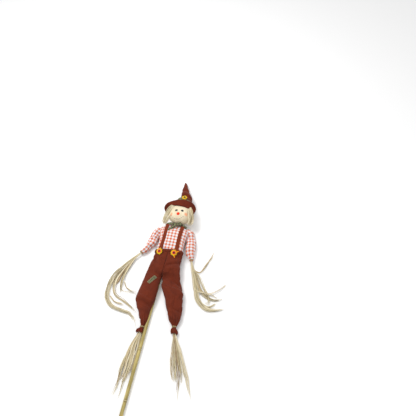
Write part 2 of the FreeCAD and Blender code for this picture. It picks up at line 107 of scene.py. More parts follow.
SHIRT = [
    (88, -38.5, 60, 1.2, 42), (104, -38.5, 60, 1.1, 43.5), (114, -39, 60.5, 0.6, 45),
    (150, -40, 60, 0.5, 46), (185, -47, 65, 0.5, 46), (204, -44, 62, 1.0, 40),
    (214, -28, 48, 2.5, 34), (219, -14, 34, 4, 29),
]
SLEEVES = {
    "right": [
        (-36, 197, 15.5, 13, 12.5), (-47, 192, 14.8, 16, 13.6), (-57, 176, 14.4, 17.5, 13.9),
        (-63.5, 155, 14.2, 17.5, 14), (-69, 129, 13.5, 15.8, 13), (-78, 109, 12, 11, 10),
        (-88, 94, 12, 7.8, 7.8), (-97, 84, 12, 6, 6),
    ],
    "left": [
        (56, 204, 15.5, 13, 12.5), (66, 200, 14.8, 16, 13.6), (74, 185, 14.4, 17.5, 13.9),
        (79, 165, 14.2, 17.5, 14), (84, 138, 13.5, 18.5, 13.3), (88, 118, 12.5, 16, 11.5),
        (94, 102, 12, 9.5, 8.5), (100, 90, 12, 6, 6),
    ],
}
CENTRE_SEAM = [(-20, 8.0), (0, 7.9), (40, 9.5), (110, 10.8)]
WAIST_SLOPE = 0.105
WAIST_MIDDLE = 10.75
HEAD_CENTRE = np.array([15.0, 268.0, 38.0])
HEAD_HALF = np.array([45.0, 41.0, 35.0])
STRAP_X = {"right": -20.5, "left": 37.5}
FLOWERS = {"right": (-21.5, 87.0, -18.0), "left": (33.5, 90.0, 8.0)}
FLOWER_LEAN = 16.0


# ---- Numbers along lines ----

def hermite(xs, ys, slopes, at):
    """Cubic through ys at xs with the given slopes, read at the values in at."""
    step = np.diff(xs)
    k = np.clip(np.searchsorted(xs, at) - 1, 0, len(xs) - 2)
    t = ((at - xs[k]) / step[k])[:, None]
    h = step[k][:, None]
    value = ys[k] * (2 * t**3 - 3 * t**2 + 1) + ys[k + 1] * (3 * t**2 - 2 * t**3)
    return value + h * (slopes[k] * (t**3 - 2 * t**2 + t) + slopes[k + 1] * (t**3 - t**2))


def steady(xs, ys, at):
    """Smooth curve through ys that never swings past them."""
    xs, ys = np.asarray(xs, float), np.asarray(ys, float)
    ys = ys.reshape(len(xs), -1)
    rise = np.diff(ys, axis=0) / np.diff(xs)[:, None]
    slopes = np.vstack([rise[:1], (rise[:-1] + rise[1:]) / 2, rise[-1:]])
    turning = rise[:-1] * rise[1:] <= 0
    slopes[1:-1][turning] = 0.0
    low = 3 * np.minimum(abs(rise[:-1]), abs(rise[1:]))
    slopes[1:-1] = np.clip(slopes[1:-1], -low, low)
    return hermite(xs, ys, slopes, np.asarray(at, float))


def run_along(points):
    """Distance walked from the first point to each of them."""
    return np.concatenate([[0], np.cumsum(np.linalg.norm(np.diff(points, axis=0), axis=1))])


def unit(vectors):
    """Each vector scaled to length 1."""
    return vectors / np.linalg.norm(vectors, axis=1)[:, None]


def sides_of(line):
    """Level sideways and upward directions at each point of a line."""
    tangent = unit(np.gradient(line, axis=0))
    side = unit(np.cross(tangent, [0, 0, 1.0]))
    return side, np.cross(side, tangent)


def line_through(points, step):
    """Even points along a smooth line through the given ones."""
    points = np.asarray(points, float)
    run = run_along(points[:, :3])
    slopes = np.gradient(points, run, axis=0)
    count = max(3, int(round(run[-1] / step)) + 1)
    return hermite(run, points, slopes, np.linspace(0, run[-1], count))


def ease(x, low, high):
    """0 below low, 1 above high, smooth between."""
    t = np.clip((np.asarray(x, float) - low) / (high - low), 0, 1)
    return t * t * (3 - 2 * t)


def wave_noise(points, scale, seed=0.0):
    """Smooth noise from -1 to 1 at each point, features about scale millimetres across."""
    flat = np.asarray(points, float).reshape(-1, 3) / scale + seed * 17.3
    values = np.array([noise.noise(Vector(p)) for p in flat])
    return values.reshape(np.asarray(points).shape[:-1])


# ---- Mesh building ----

def to_frame(points):
    return np.asarray(points, float) / 1000 + ORIGIN


def build(name, points, faces, uv, tint):
    """Mesh object from points in millimetres, with uv millimetres for each face corner."""
    mesh = bpy.data.meshes.new(name)
    mesh.from_pydata(to_frame(points).tolist(), [], [list(map(int, f)) for f in faces])
    mesh.polygons.foreach_set("use_smooth", [True] * len(mesh.polygons))
    layer = mesh.uv_layers.new(name="cloth")
    layer.data.foreach_set("uv", np.asarray(uv, np.float32).ravel())
    attribute = mesh.attributes.new("tint", "FLOAT", "POINT")
    attribute.data.foreach_set("value", np.asarray(tint, np.float32))
    mesh.validate()
    mesh.update()
    obj = bpy.data.objects.new(name, mesh)
    bpy.context.scene.collection.objects.link(obj)
    return obj


class Grid:
    """Points, faces and uv of one or more strips of closed rings."""

    def __init__(self):
        self.points, self.faces, self.uv, self.tint = [], [], [], []
        self.count = 0

    def add(self, rings, u, v, tint=0.0, caps=True):
        """rings[i, j] are points; u[i, j] and v[i, j] are millimetres, with one more column."""
        rows, across = rings.shape[:2]
        base = self.count
        self.points.append(rings.reshape(-1, 3))
        self.tint.append(np.full(rows * across, tint))
        self.count += rows * across
        for i in range(rows - 1):
            for j in range(across):
                k = (j + 1) % across
                a, b = base + i * across, base + (i + 1) * across
                self.faces.append((a + j, a + k, b + k, b + j))
                self.uv += [
                    (u[i, j], v[i, j]), (u[i, j + 1], v[i, j + 1]),
                    (u[i + 1, j + 1], v[i + 1, j + 1]), (u[i + 1, j], v[i + 1, j]),
                ]
        if caps:
            for row, order in ((0, -1), (rows - 1, 1)):
                ring = [base + row * across + j for j in range(across)][::order]
                middle = self.count
                self.points.append(rings[row].mean(axis=0)[None])
                self.tint.append(np.array([tint]))
                self.count += 1
                for j in range(across):
                    self.faces.append((ring[j], ring[(j + 1) % across], middle))
                    self.uv += [(u[row, 0], v[row, 0])] * 3

    def object(self, name):
        tint = np.concatenate(self.tint)
        return build(name, np.vstack(self.points), self.faces, self.uv, tint)


def around(rings):
    """Millimetres round each ring (u) and along the rings (v), for a closed strip."""
    loop = np.concatenate([rings, rings[:, :1]], axis=1)
    u = np.concatenate(
        [np.zeros((len(rings), 1)), np.cumsum(np.linalg.norm(np.diff(loop, axis=1), axis=2), axis=1)],
        axis=1,
    )
    middle = rings.mean(axis=1)
    run = run_along(middle)
    v = np.repeat(run[:, None], loop.shape[1], axis=1)
    return u, v


def whole(name, rings, u=None, v=None):
    """One closed bag through its rings."""
    grid = Grid()
    own_u, own_v = around(rings)
    grid.add(rings, own_u if u is None else u, own_v if v is None else v)
    return grid.object(name)


def superoval(angle, half_width, half_height, power):
    """Distance from the middle to a rounded-square oval at each angle."""
    c, s = abs(np.cos(angle)), abs(np.sin(angle))
    return ((c / half_width) ** power + (s / half_height) ** power) ** (-1 / power)


def soft_min(a, b, width):
    """The smaller of two, rounded where they meet."""
    h = np.clip(0.5 + 0.5 * (b - a) / width, 0, 1)
    return b * (1 - h) + a * h - width * h * (1 - h)


def tube(line, thick, sides):
    """Rings of a round cord of radius thick[i] along a line."""
    line = np.asarray(line, float)
    side, up = sides_of(line)
    angle = np.linspace(0, tau, sides, endpoint=False)
    spread = side[:, None] * np.cos(angle)[None, :, None]
    spread = spread + up[:, None] * np.sin(angle)[None, :, None]
    return line[:, None] + spread * np.asarray(thick, float)[:, None, None]


def dressed(obj, material, body, *nodes, slot=None):
    """Gives a piece its material and body and hides the nodes it stands for; slot is not used."""
    obj.data.materials.clear()
    obj.data.materials.append(material)
    if body:
        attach(obj, body)
    if nodes:
        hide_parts(*nodes)
    return obj


# ---- Materials ----

class Shader:
    """One material and short ways to add its nodes."""

    def __init__(self, name, roughness, sheen=0.0, specular=0.5):
        self.material = bpy.data.materials.new(name)
        self.material.use_nodes = True
        self.tree = self.material.node_tree
        self.surface = self.tree.nodes["Principled BSDF"]
        self.surface.inputs["Roughness"].default_value = roughness
        self.surface.inputs["Sheen Weight"].default_value = sheen
        self.surface.inputs["Sheen Roughness"].default_value = 0.5
        self.surface.inputs["Specular IOR Level"].default_value = specular

    def node(self, kind, inputs=None, **settings):
        made = self.tree.nodes.new("ShaderNode" + kind)
        for key, value in settings.items():
            setattr(made, key, value)
        for key, value in (inputs or {}).items():
            if isinstance(value, bpy.types.NodeSocket):
                self.tree.links.new(value, made.inputs[key])
            else:
                made.inputs[key].default_value = value
        return made

    def math(self, operation, *values):
        inputs = dict(enumerate(values))
        return self.node("Math", inputs, operation=operation).outputs[0]

    def times(self, a, b):
        return self.math("MULTIPLY", a, b)

    def plus(self, a, b):
        return self.math("ADD", a, b)

    def mix(self, share, a, b):
        """Colour a where share is 0 and b where it is 1."""
        inputs = {0: share, 6: a, 7: b}
        return self.node("Mix", inputs, data_type="RGBA").outputs[2]

    def step(self, value, low, high):
        """0 below low, 1 above high, smooth between."""
        inputs = {"Value": value, "From Min": low, "From Max": high}
        return self.node("MapRange", inputs, interpolation_type="SMOOTHSTEP").outputs[0]

    def cloth(self):
        """The piece's own cloth coordinates, in millimetres."""
        split = self.node("SeparateXYZ", {0: self.node("UVMap", uv_map="cloth").outputs[0]})
        return split.outputs[0], split.outputs[1]

    def joined(self, x, y, z=0.0):
        return self.node("CombineXYZ", {0: x, 1: y, 2: z}).outputs[0]

    def place(self):
        """Coordinates of the piece itself, in metres."""
        return self.node("TexCoord").outputs["Object"]

    def grain(self, vector, scale, detail=3.0, roughness=0.55):
        inputs = {"Vector": vector, "Scale": scale, "Detail": detail, "Roughness": roughness}
        return self.node("TexNoise", inputs).outputs[0]

    def wave(self, value, period):
        """Sine of a length, once per period."""
        return self.math("SINE", self.times(value, tau / period))

    def relief(self, height, distance, strength=1.0):
        """Bump whose height is in millimetres times distance."""
        inputs = {"Height": height, "Distance": distance / 1000, "Strength": strength}
        before = self.surface.inputs["Normal"]
        if before.is_linked:
            inputs["Normal"] = before.links[0].from_socket
        bump = self.node("Bump", inputs)
        self.tree.links.new(bump.outputs[0], before)

    def colour(self, socket):
        self.tree.links.new(socket, self.surface.inputs["Base Color"])

    def rough(self, socket):
        self.tree.links.new(socket, self.surface.inputs["Roughness"])


def shade(red, green, blue):
    """Linear colour from its usual 0 to 255 values."""
    def linear(c):
        c /= 255
        return c / 12.92 if c <= 0.04045 else ((c + 0.055) / 1.055) ** 2.4
    return (linear(red), linear(green), linear(blue), 1.0)


def gingham():
    """Woven check: 6 mm bands of orange-red and white thread both ways."""
    s = Shader("gingham", 0.85, sheen=0.04)
    u, v = s.cloth()
    bands = [s.step(s.wave(w, GINGHAM_REPEAT), -0.02, 0.26) for w in (u, v)]
    fine = s.times(s.wave(u, THREAD), s.wave(v, THREAD))
    over = s.step(fine, -0.25, 0.25)
    woven = s.mix(over, s.joined(bands[0], bands[0], bands[0]), s.joined(bands[1], bands[1], bands[1]))
    share = s.times(s.plus(bands[0], bands[1]), 0.5)
    split = s.node("SeparateColor", {0: woven}).outputs[0]
    amount = s.plus(s.times(share, 0.72), s.times(split, 0.28))
    ramp = s.node("ValToRGB", {0: amount})
    points = ramp.color_ramp.elements
    points[0].position, points[0].color = 0.08, shade(214, 222, 234)
    points[1].position, points[1].color = 0.96, shade(190, 60, 12)
    middle = points.new(0.5)
    middle.color = shade(222, 164, 130)
    worn = s.grain(s.joined(u, v), 0.05, 4.0)
    tone = s.mix(s.times(worn, 0.16), ramp.outputs[0], shade(214, 206, 200))
    s.colour(tone)
    s.relief(fine, 0.10)
    s.relief(worn, 0.6, 0.5)
    return s.material


def twill(name, base, dark, light, sheen=0.25):
    """Brushed cotton twill with a fine diagonal rib and rubbed high spots."""
    s = Shader(name, 0.9, sheen=sheen, specular=0.25)
    u, v = s.cloth()
    rib = s.wave(s.plus(u, s.times(v, 1.35)), TWILL_RIB)
    cross = s.wave(s.math("SUBTRACT", v, u), TWILL_RIB * 0.7)
    patches = s.grain(s.joined(u, v), 0.035, 5.0, 0.6)
    fibres = s.grain(s.joined(s.times(u, 1.0), s.times(v, 0.25)), 1.6, 3.0, 0.7)
    tone = s.mix(s.step(patches, 0.2, 0.62), dark, base)
    tone = s.mix(s.times(s.step(fibres, 0.5, 0.85), 0.35), tone, light)
    tone = s.mix(s.times(s.step(rib, 0.2, 1.0), 0.22), tone, light)
    s.colour(tone)
    s.rough(s.plus(0.80, s.times(patches, 0.18)))
    s.relief(s.plus(rib, s.times(cross, 0.4)), 0.07)
    s.relief(patches, 0.5, 0.6)
    return s.material


def felt(name, base, dark, sheen=0.3, fibre=520.0):
    """Pressed wool felt with short matted fibres."""
    s = Shader(name, 0.95, sheen=sheen, specular=0.2)
    place = s.place()
    matted = s.grain(place, fibre, 6.0, 0.75)
    clouds = s.grain(place, 38.0, 4.0, 0.6)
    specks = s.grain(place, fibre * 2.6, 2.0, 0.5)
    tone = s.mix(s.step(clouds, 0.32, 0.7), dark, base)
    tone = s.mix(s.times(s.step(matted, 0.35, 0.75), 0.35), tone, dark)
    s.colour(tone)
    s.rough(s.plus(0.86, s.times(clouds, 0.12)))
    s.relief(matted, 0.35)
    s.relief(specks, 0.12)
    return s.material


def plaid():
    """Woven plaid of dark green, maroon and pale green threads."""
    s = Shader("plaid", 0.88, sheen=0.15)
    sets = []
    u, v = s.cloth()
    for w, shift in ((u, 0.0), (v, 3.0)):
        place = s.math("FRACT", s.math("DIVIDE", s.plus(w, shift), PLAID_REPEAT))
        ramp = s.node("ValToRGB", {0: place})
        ramp.color_ramp.interpolation = "CONSTANT"
        stops = ramp.color_ramp.elements
        stops[0].position, stops[0].color = 0.0, shade(30, 50, 28)
        stops[1].position, stops[1].color = 0.36, shade(96, 24, 24)
        for position, colour in (
            (0.60, shade(24, 26, 18)), (0.68, shade(158, 176, 118)), (0.84, shade(46, 76, 38)),
        ):
            stops.new(position).color = colour
        sets.append(ramp.outputs[0])
    rib = s.wave(s.plus(u, v), 0.9)
    tone = s.mix(s.step(rib, -0.4, 0.4), sets[0], sets[1])
    worn = s.grain(s.joined(u, v), 0.12, 4.0)
    s.colour(s.mix(s.times(worn, 0.16), tone, shade(150, 150, 120)))
    s.relief(rib, 0.10)
    s.relief(worn, 0.4, 0.5)
    return s.material


def raffia():
    """Dried palm strip: long fibres with paler and browner streaks, strips of different tones and stained
    stretches.
    """
    s = Shader("raffia", 0.55, sheen=0.1, specular=0.4)
    u, v = s.cloth()
    tint = s.node("Attribute", attribute_name="tint").outputs["Fac"]
    along = s.joined(
        s.times(u, 2.2),
        s.times(v, 0.035),
        s.times(tint, 40.0),
    )
    fibres = s.grain(along, 1.6, 5.0, 0.7)
    stains = s.grain(s.joined(s.times(tint, 60.0), s.times(v, 0.02)), 1.0, 3.0)
    ramp = s.node("ValToRGB", {0: tint})
    stops = ramp.color_ramp.elements
    stops[0].position, stops[0].color = 0.0, shade(222, 210, 180)
    stops[1].position, stops[1].color = 1.0, shade(132, 98, 58)
    middle_shades = (
        (0.35, shade(208, 196, 162)), (0.62, shade(184, 170, 130)), (0.86, shade(196, 174, 138)),
    )
    for position, colour in middle_shades:
        stops.new(position).color = colour
    tone = s.mix(s.times(s.step(stains, 0.52, 0.78), 0.55), ramp.outputs[0], shade(152, 136, 92))
    tone = s.mix(s.times(s.step(fibres, 0.5, 0.8), 0.35), tone, shade(128, 108, 76))
    tone = s.mix(s.times(s.step(fibres, 0.45, 0.2), 0.35), tone, shade(240, 232, 208))
    s.colour(tone)
    s.rough(s.plus(0.42, s.times(fibres, 0.3)))
    s.relief(fibres, 0.35)
    return s.material


def bamboo():
    """Peeled cane: yellow-olive skin, long fibres, brown stains and darker rings at the nodes."""
    s = Shader("bamboo", 0.42, specular=0.45)
    u, v = s.cloth()
    long_way = s.joined(s.times(u, 1.2), s.times(v, 0.02))
    fibres = s.grain(long_way, 1.8, 5.0, 0.7)
    clouds = s.grain(s.joined(s.times(u, 0.05), s.times(v, 0.014)), 1.0, 4.0, 0.6)
    spots = s.grain(s.joined(s.times(u, 0.4), s.times(v, 0.12)), 1.0, 3.0, 0.5)
    tone = s.mix(s.step(clouds, 0.35, 0.68), shade(150, 134, 72), shade(190, 172, 106))
    tone = s.mix(s.times(s.step(fibres, 0.45, 0.75), 0.4), tone, shade(122, 104, 52))
    tone = s.mix(s.times(s.step(spots, 0.64, 0.8), 0.5), tone, shade(92, 66, 34))
    for node_y in CANE_NODES_Y:
        gap = s.math("ABSOLUTE", s.math("SUBTRACT", v, node_y))
        tone = s.mix(s.times(s.step(gap, 9.0, 1.0), 0.55), tone, shade(104, 84, 44))
        tone = s.mix(s.times(s.step(gap, 1.6, 0.7), 0.7), tone, shade(206, 192, 146))
    s.colour(tone)
    s.rough(s.plus(0.34, s.times(fibres, 0.25)))
    s.relief(fibres, 0.12)
    return s.material


def muslin(name, cheeks=False):
    """Unbleached plain weave; the face has two rubbed orange cheeks."""
    s = Shader(name, 0.85, sheen=0.1, specular=0.3)
    u, v = s.cloth()
    weave = s.times(s.wave(u, THREAD), s.wave(v, THREAD))
    slubs = s.grain(s.joined(s.times(u, 0.08), v), 0.8, 4.0, 0.6)
    clouds = s.grain(s.joined(u, v), 0.03, 4.0)
    tone = s.mix(s.step(clouds, 0.3, 0.75), shade(218, 202, 170), shade(232, 220, 192))
    tone = s.mix(s.times(s.step(slubs, 0.5, 0.8), 0.25), tone, shade(202, 184, 148))
    if cheeks:
        where = s.node("SeparateXYZ", {0: s.place()})
        for x, y in CHEEKS:
            spot = to_frame([x, y, 0])
            dx = s.math("SUBTRACT", where.outputs[0], float(spot[0]))
            dy = s.math("SUBTRACT", where.outputs[1], float(spot[1]))
            away = s.math("SQRT", s.plus(s.times(dx, dx), s.times(dy, dy)))
            near = s.step(away, CHEEK_R / 1000, CHEEK_R / 4000)
            in_front = s.step(where.outputs[2], 0.038, 0.042)
            rub = s.times(near, in_front)
            rub = s.times(rub, s.plus(0.5, s.times(slubs, 0.45)))
            tone = s.mix(rub, tone, shade(238, 138, 84))
    s.colour(tone)
    s.relief(weave, 0.10)
    s.relief(slubs, 0.15)
    return s.material


def thread(name, base, dark):
    """Twisted sewing or tying thread."""
    s = Shader(name, 0.7, sheen=0.2, specular=0.3)
    u, v = s.cloth()
    ply = s.wave(s.plus(v, s.times(u, 0.7)), 1.1)
    s.colour(s.mix(s.step(ply, -0.6, 0.8), dark, base))
    s.relief(ply, 0.12)
    return s.material


def painted(name, base, light, roughness):
    """Thick paint or a moulded bead, with a slightly uneven surface."""
    s = Shader(name, roughness, specular=0.5)
    place = s.place()
    uneven = s.grain(place, 420.0, 3.0)
    s.colour(s.mix(s.times(s.step(uneven, 0.45, 0.8), 0.35), base, light))
    s.rough(s.plus(roughness, s.times(uneven, 0.2)))
    s.relief(uneven, 0.18)
    return s.material


GINGHAM_REPEAT = 12.6
THREAD = 0.9
TWILL_RIB = 1.3
PLAID_REPEAT = 9.5
CANE_NODES_Y = [-600.0, -434.0, -268.0, -100.0, 62.0]
CHEEKS = [(-16.0, 249.0), (42.0, 256.0)]
CHEEK_R = 9.5

GINGHAM = gingham()
TROUSER = twill("trouser_twill", shade(100, 35, 12), shade(84, 27, 9), shade(122, 50, 22), sheen=0.04)
STRAP = twill("strap_twill", shade(120, 44, 14), shade(98, 30, 9), shade(142, 60, 26), sheen=0.04)
HAT_FELT = felt("hat_felt", shade(112, 42, 16), shade(88, 28, 10), sheen=0.05)
PETAL_FELT = felt("petal_felt", shade(238, 206, 30), shade(214, 166, 14), fibre=700.0)
RING_FELT = felt("ring_felt", shade(238, 80, 34), shade(214, 44, 52), fibre=700.0)
LEAF_FELT = felt("leaf_felt", shade(240, 150, 24), shade(206, 104, 14), fibre=700.0)
NOSE_FELT = felt("nose_felt", shade(240, 66, 20), shade(220, 44, 10), fibre=700.0)
PLAID = plaid()
RAFFIA = raffia()
BAMBOO = bamboo()
FACE = muslin("face_muslin", cheeks=True)
MUSLIN = muslin("muslin")
EYE = painted("eye_paint", shade(18, 18, 22), shade(44, 44, 52), 0.25)
BEAD = painted("seed_bead", shade(20, 14, 18), shade(58, 36, 40), 0.4)
TIE = thread("raffia_tie", shade(186, 166, 122), shade(132, 108, 70))
DARK_THREAD = thread("dark_thread", shade(110, 98, 108), shade(74, 64, 74))
BROWN_THREAD = thread("brown_thread", shade(104, 44, 26), shade(72, 24, 12))
PALE_THREAD = thread("pale_thread", shade(196, 190, 150), shade(140, 134, 96))


# ---- Rings of the cloth bags ----

def outward(rings):
    """Unit normals of a closed strip of rings."""
    loop = np.concatenate([rings[:, -1:], rings, rings[:, :1]], axis=1)
    across = (loop[:, 2:] - loop[:, :-2]) / 2
    along = np.gradient(rings, axis=0)
    normal = np.cross(across, along)
    normal /= np.maximum(np.linalg.norm(normal, axis=2), 1e-9)[:, :, None]
    middle = rings.mean(axis=1)[:, None]
    if ((rings - middle) * normal).sum() < 0:
        normal = -normal
    return normal


def swell(rings, amount):
    return rings + outward(rings) * np.asarray(amount)[:, :, None]


def angles(sides):
    return np.linspace(0, tau, sides, endpoint=False) - pi / 2


def bag(rows, count, sides, power=SQUARE):
    """Rings across the body from stations of (y, x_low, x_high, z_low, z_high)."""
    rows = np.array(sorted(rows, reverse=True), float)
    ys = np.linspace(rows[0, 0], rows[-1, 0], count)
    x_low, x_high, z_low, z_high = steady(-rows[:, 0], rows[:, 1:], -ys).T
    angle = angles(sides)[None]
    reach = superoval(angle, ((x_high - x_low) / 2)[:, None], ((z_high - z_low) / 2)[:, None], power)
    x = ((x_low + x_high) / 2)[:, None] + np.cos(angle) * reach
    z = ((z_low + z_high) / 2)[:, None] + np.sin(angle) * reach
    return np.stack([x, np.repeat(ys[:, None], sides, axis=1), z], axis=2)


def limb(stations, count, sides):
    """Rings along a bent line of (x, y, z, half_width, half_height), evenly spaced."""
    rows = np.array(stations, float)
    run = run_along(rows[:, :3])
    at = np.linspace(0, run[-1], count)
    smooth = steady(run, rows, at)
    middle = hermite(run, rows[:, :3], np.gradient(rows[:, :3], run, axis=0), at)
    heading = np.gradient(middle, axis=0)
    heading[:, 2] = 0
    heading = unit(heading)
    side = np.stack([-heading[:, 1], heading[:, 0], np.zeros(count)], axis=1)
    angle = angles(sides)[None, :, None]
    rings = middle[:, None] + side[:, None] * np.cos(angle) * smooth[:, None, 3:4]
    rings = rings + np.array([0, 0, 1.0]) * np.sin(angle) * smooth[:, None, 4:5]
    return rings, at


def crease(rings, start, end, depth, before, after):
    """Height of a fold along the plan line from start to end: before on its left, after on its right."""
    a, b = np.array(start, float), np.array(end, float)
    way = (b - a) / np.linalg.norm(b - a)
    offset = rings[:, :, :2] - a
    along = offset @ way
    across = offset @ np.array([-way[1], way[0]])
    span = np.linalg.norm(b - a)
    here = ease(along, -10, 8) * (1 - ease(along, span - 8, span + 10))
    width = np.where(across > 0, before, after)
    return depth * here * np.exp(-(across / width) ** 2)


def topside(rings):
    """1 on the upper face, fading to 0 underneath."""
    return ease(outward(rings)[:, :, 2], -0.2, 0.5)


def puff(obj, pinned, cap, slack, pressure=4.0, frames=20, low=0.3):
    """Blows a bag up as cloth; each point stays within cap millimetres of its start.

    pinned holds one weight for each point, 1 where the cloth is sewn or tied.
    """
    mesh = obj.data
    start = np.array([point.co for point in mesh.vertices])
    volume = sum(face.center.dot(face.normal) * face.area for face in mesh.polygons)
    group = obj.vertex_groups.new(name="pinned")
    for index, weight in enumerate(np.round(pinned, 2)):
        if weight > 0:
            group.add([index], float(weight), "REPLACE")
    cloth = obj.modifiers.new("cloth", "CLOTH")
    settings = cloth.settings
    settings.quality = 5
    settings.mass = 0.2
    settings.tension_stiffness = 20
    settings.compression_stiffness = 20
    settings.shear_stiffness = 8
    settings.bending_stiffness = 0.4
    settings.use_pressure = True
    settings.uniform_pressure_force = pressure if volume > 0 else -pressure
    settings.shrink_min = -slack
    settings.vertex_group_mass = "pinned"
    settings.effector_weights.gravity = 0
    cloth.point_cache.frame_start = 1
    cloth.point_cache.frame_end = frames
    for frame in range(1, frames + 1):
        bpy.context.scene.frame_set(frame)
    seen = obj.evaluated_get(bpy.context.evaluated_depsgraph_get())
    end = np.array([point.co for point in seen.data.vertices])
    obj.modifiers.remove(cloth)
    obj.vertex_groups.remove(group)
    bpy.context.scene.frame_set(1)
    move = end - start
    length = np.linalg.norm(move, axis=1)
    share = np.tanh(1000 * length / cap) * cap / 1000 / np.maximum(length, 1e-9)
    made = start + move * share[:, None]
    made[:, 2] = np.maximum(made[:, 2], low / 1000)
    mesh.vertices.foreach_set("co", made.ravel())
    mesh.update()


def rest_on_floor(rings, low=0.3):
    """Flattens whatever would sink into the floor."""
    rings = rings.copy()
    rings[:, :, 2] = np.maximum(rings[:, :, 2], low)
    return rings


def cloth_top(objects, x, y, fallback):
    """Height of the highest of the pieces under plan points, in millimetres."""
    trees = []
    for obj in objects:
        mesh = obj.data
        points = [obj.matrix_world @ p.co for p in mesh.vertices]
        trees.append(BVHTree.FromPolygons(points, [tuple(f.vertices) for f in mesh.polygons]))
    x, y = np.broadcast_arrays(np.asarray(x, float), np.asarray(y, float))
    found = np.full(x.size, fallback, float)
    for k, (px, py) in enumerate(zip(x.ravel(), y.ravel())):
        start = Vector(to_frame([px, py, 300.0]))
        for tree in trees:
            hit = tree.ray_cast(start, Vector((0, 0, -1)))[0]
            if hit is not None:
                found[k] = max(found[k], hit.z * 1000)
    return found.reshape(x.shape)


# ---- Trousers: two halves that meet at the centre seam ----

def ray_to_oval(x, z, angle, half_width, half_height, power):
    """Distance from an inner point to a rounded-square oval about 0."""
    low = np.zeros_like(angle)
    high = np.full_like(angle, 300.0)
    for _ in range(26):
        mid = (low + high) / 2
        px = abs(x + np.cos(angle) * mid) / half_width
        pz = abs(z + np.sin(angle) * mid) / half_height
        inside = px**power + pz**power < 1
        low, high = np.where(inside, mid, low), np.where(inside, high, mid)
    return (low + high) / 2


def seam_at(ys):
    """X of the trousers' centre seam at each y."""
    down = CENTRE_SEAM[::-1]
    return steady([-row[0] for row in down], [[row[1]] for row in down], np.clip(-ys, -110, 20))[:, 0]


def trouser_half(side):
    """Rings of one half, seat and leg together, with their cloth coordinates."""
    sign = 1 if side == "left" else -1
    leg_rows = np.array(LEGS[side], float)
    seat_rows = np.array(SEAT, float)
    end_y = leg_rows[-1, 0]
    count, sides = 150, 112
    ys = np.linspace(SEAT[0][0], end_y, count)
    seat = steady(-seat_rows[:, 0], seat_rows[:, 1:], np.clip(-ys, -200, 12))
    seam = seam_at(ys)
    leg = steady(-leg_rows[:, 0], leg_rows[:, 1:], np.clip(-ys, -20, 400))
    angle = np.repeat(angles(sides)[None], count, axis=0)
    outer = seat[:, 1] if side == "left" else seat[:, 0]
    half_x = (outer + seam) / 2
    seat_x, seat_z = (seat[:, 0] + seat[:, 1]) / 2, (seat[:, 2] + seat[:, 3]) / 2
    oval = ray_to_oval(
        (half_x - seat_x)[:, None], np.zeros((count, 1)), angle,
        ((seat[:, 1] - seat[:, 0]) / 2)[:, None], ((seat[:, 3] - seat[:, 2]) / 2)[:, None], SQUARE,
    )
    toward = -sign * np.cos(angle)
    gap = abs(half_x - seam)[:, None] - 0.15
    plane = np.where(toward > 1e-3, gap / np.maximum(toward, 1e-3), 900.0)
    seat_reach = soft_min(oval, plane, 5.0)
    leg_reach = superoval(
        angle, ((leg[:, 1] - leg[:, 0]) / 2)[:, None], ((leg[:, 3] - leg[:, 2]) / 2)[:, None], 2.15
    )
    down = ease(-ys, -14, 10)[:, None]
    x0 = half_x[:, None] * (1 - down) + ((leg[:, 0] + leg[:, 1]) / 2)[:, None] * down
    z0 = seat_z[:, None] * (1 - down) + ((leg[:, 2] + leg[:, 3]) / 2)[:, None] * down
    reach = seat_reach * (1 - down) + leg_reach * down
    rings = np.stack(
        [x0 + np.cos(angle) * reach, np.repeat(ys[:, None], sides, axis=1), z0 + np.sin(angle) * reach],
        axis=2,
    )
    u, v = around(rings)
    u = u - u[:, [sides // 2]]
    v = SEAT[0][0] - np.repeat(ys[:, None], sides + 1, axis=1)
    near = ease(ys, end_y + 62, end_y + 4)[:, None]
    tight = ease(ys, end_y + 26, end_y)[:, None]
    wander = wave_noise(rings * [1, 0.35, 1], 22, 3 if side == "left" else 5)
    pleats = np.sin(angle * 10 + wander * 2.2) * (0.35 + 0.65 * np.sin(angle * 3 + 1.3) ** 2)
    amount = pleats * (3.2 * near - 1.7 * tight)
    away_from_seam = ease(abs(rings[:, :, 0] - seam[:, None]), 1.0, 12.0) * (1 - down) + down
    amount = amount + away_from_seam * (
        2.2 * wave_noise(rings * [1, 0.5, 1], 32, 1) + 1.0 * wave_noise(rings * [1, 0.6, 1], 13, 2)
    )
    for start, end, depth, before, after in TROUSER_FOLDS[side]:
        amount = amount + 1.6 * crease(rings, start, end, depth, before, after) * topside(rings)
    rings = swell(rings, amount)
    slope = ease(ys, 60, 103)[:, None]
    rings[:, :, 1] += slope * WAIST_SLOPE * (rings[:, :, 0] - WAIST_MIDDLE)
    return rest_on_floor(rings), u, v


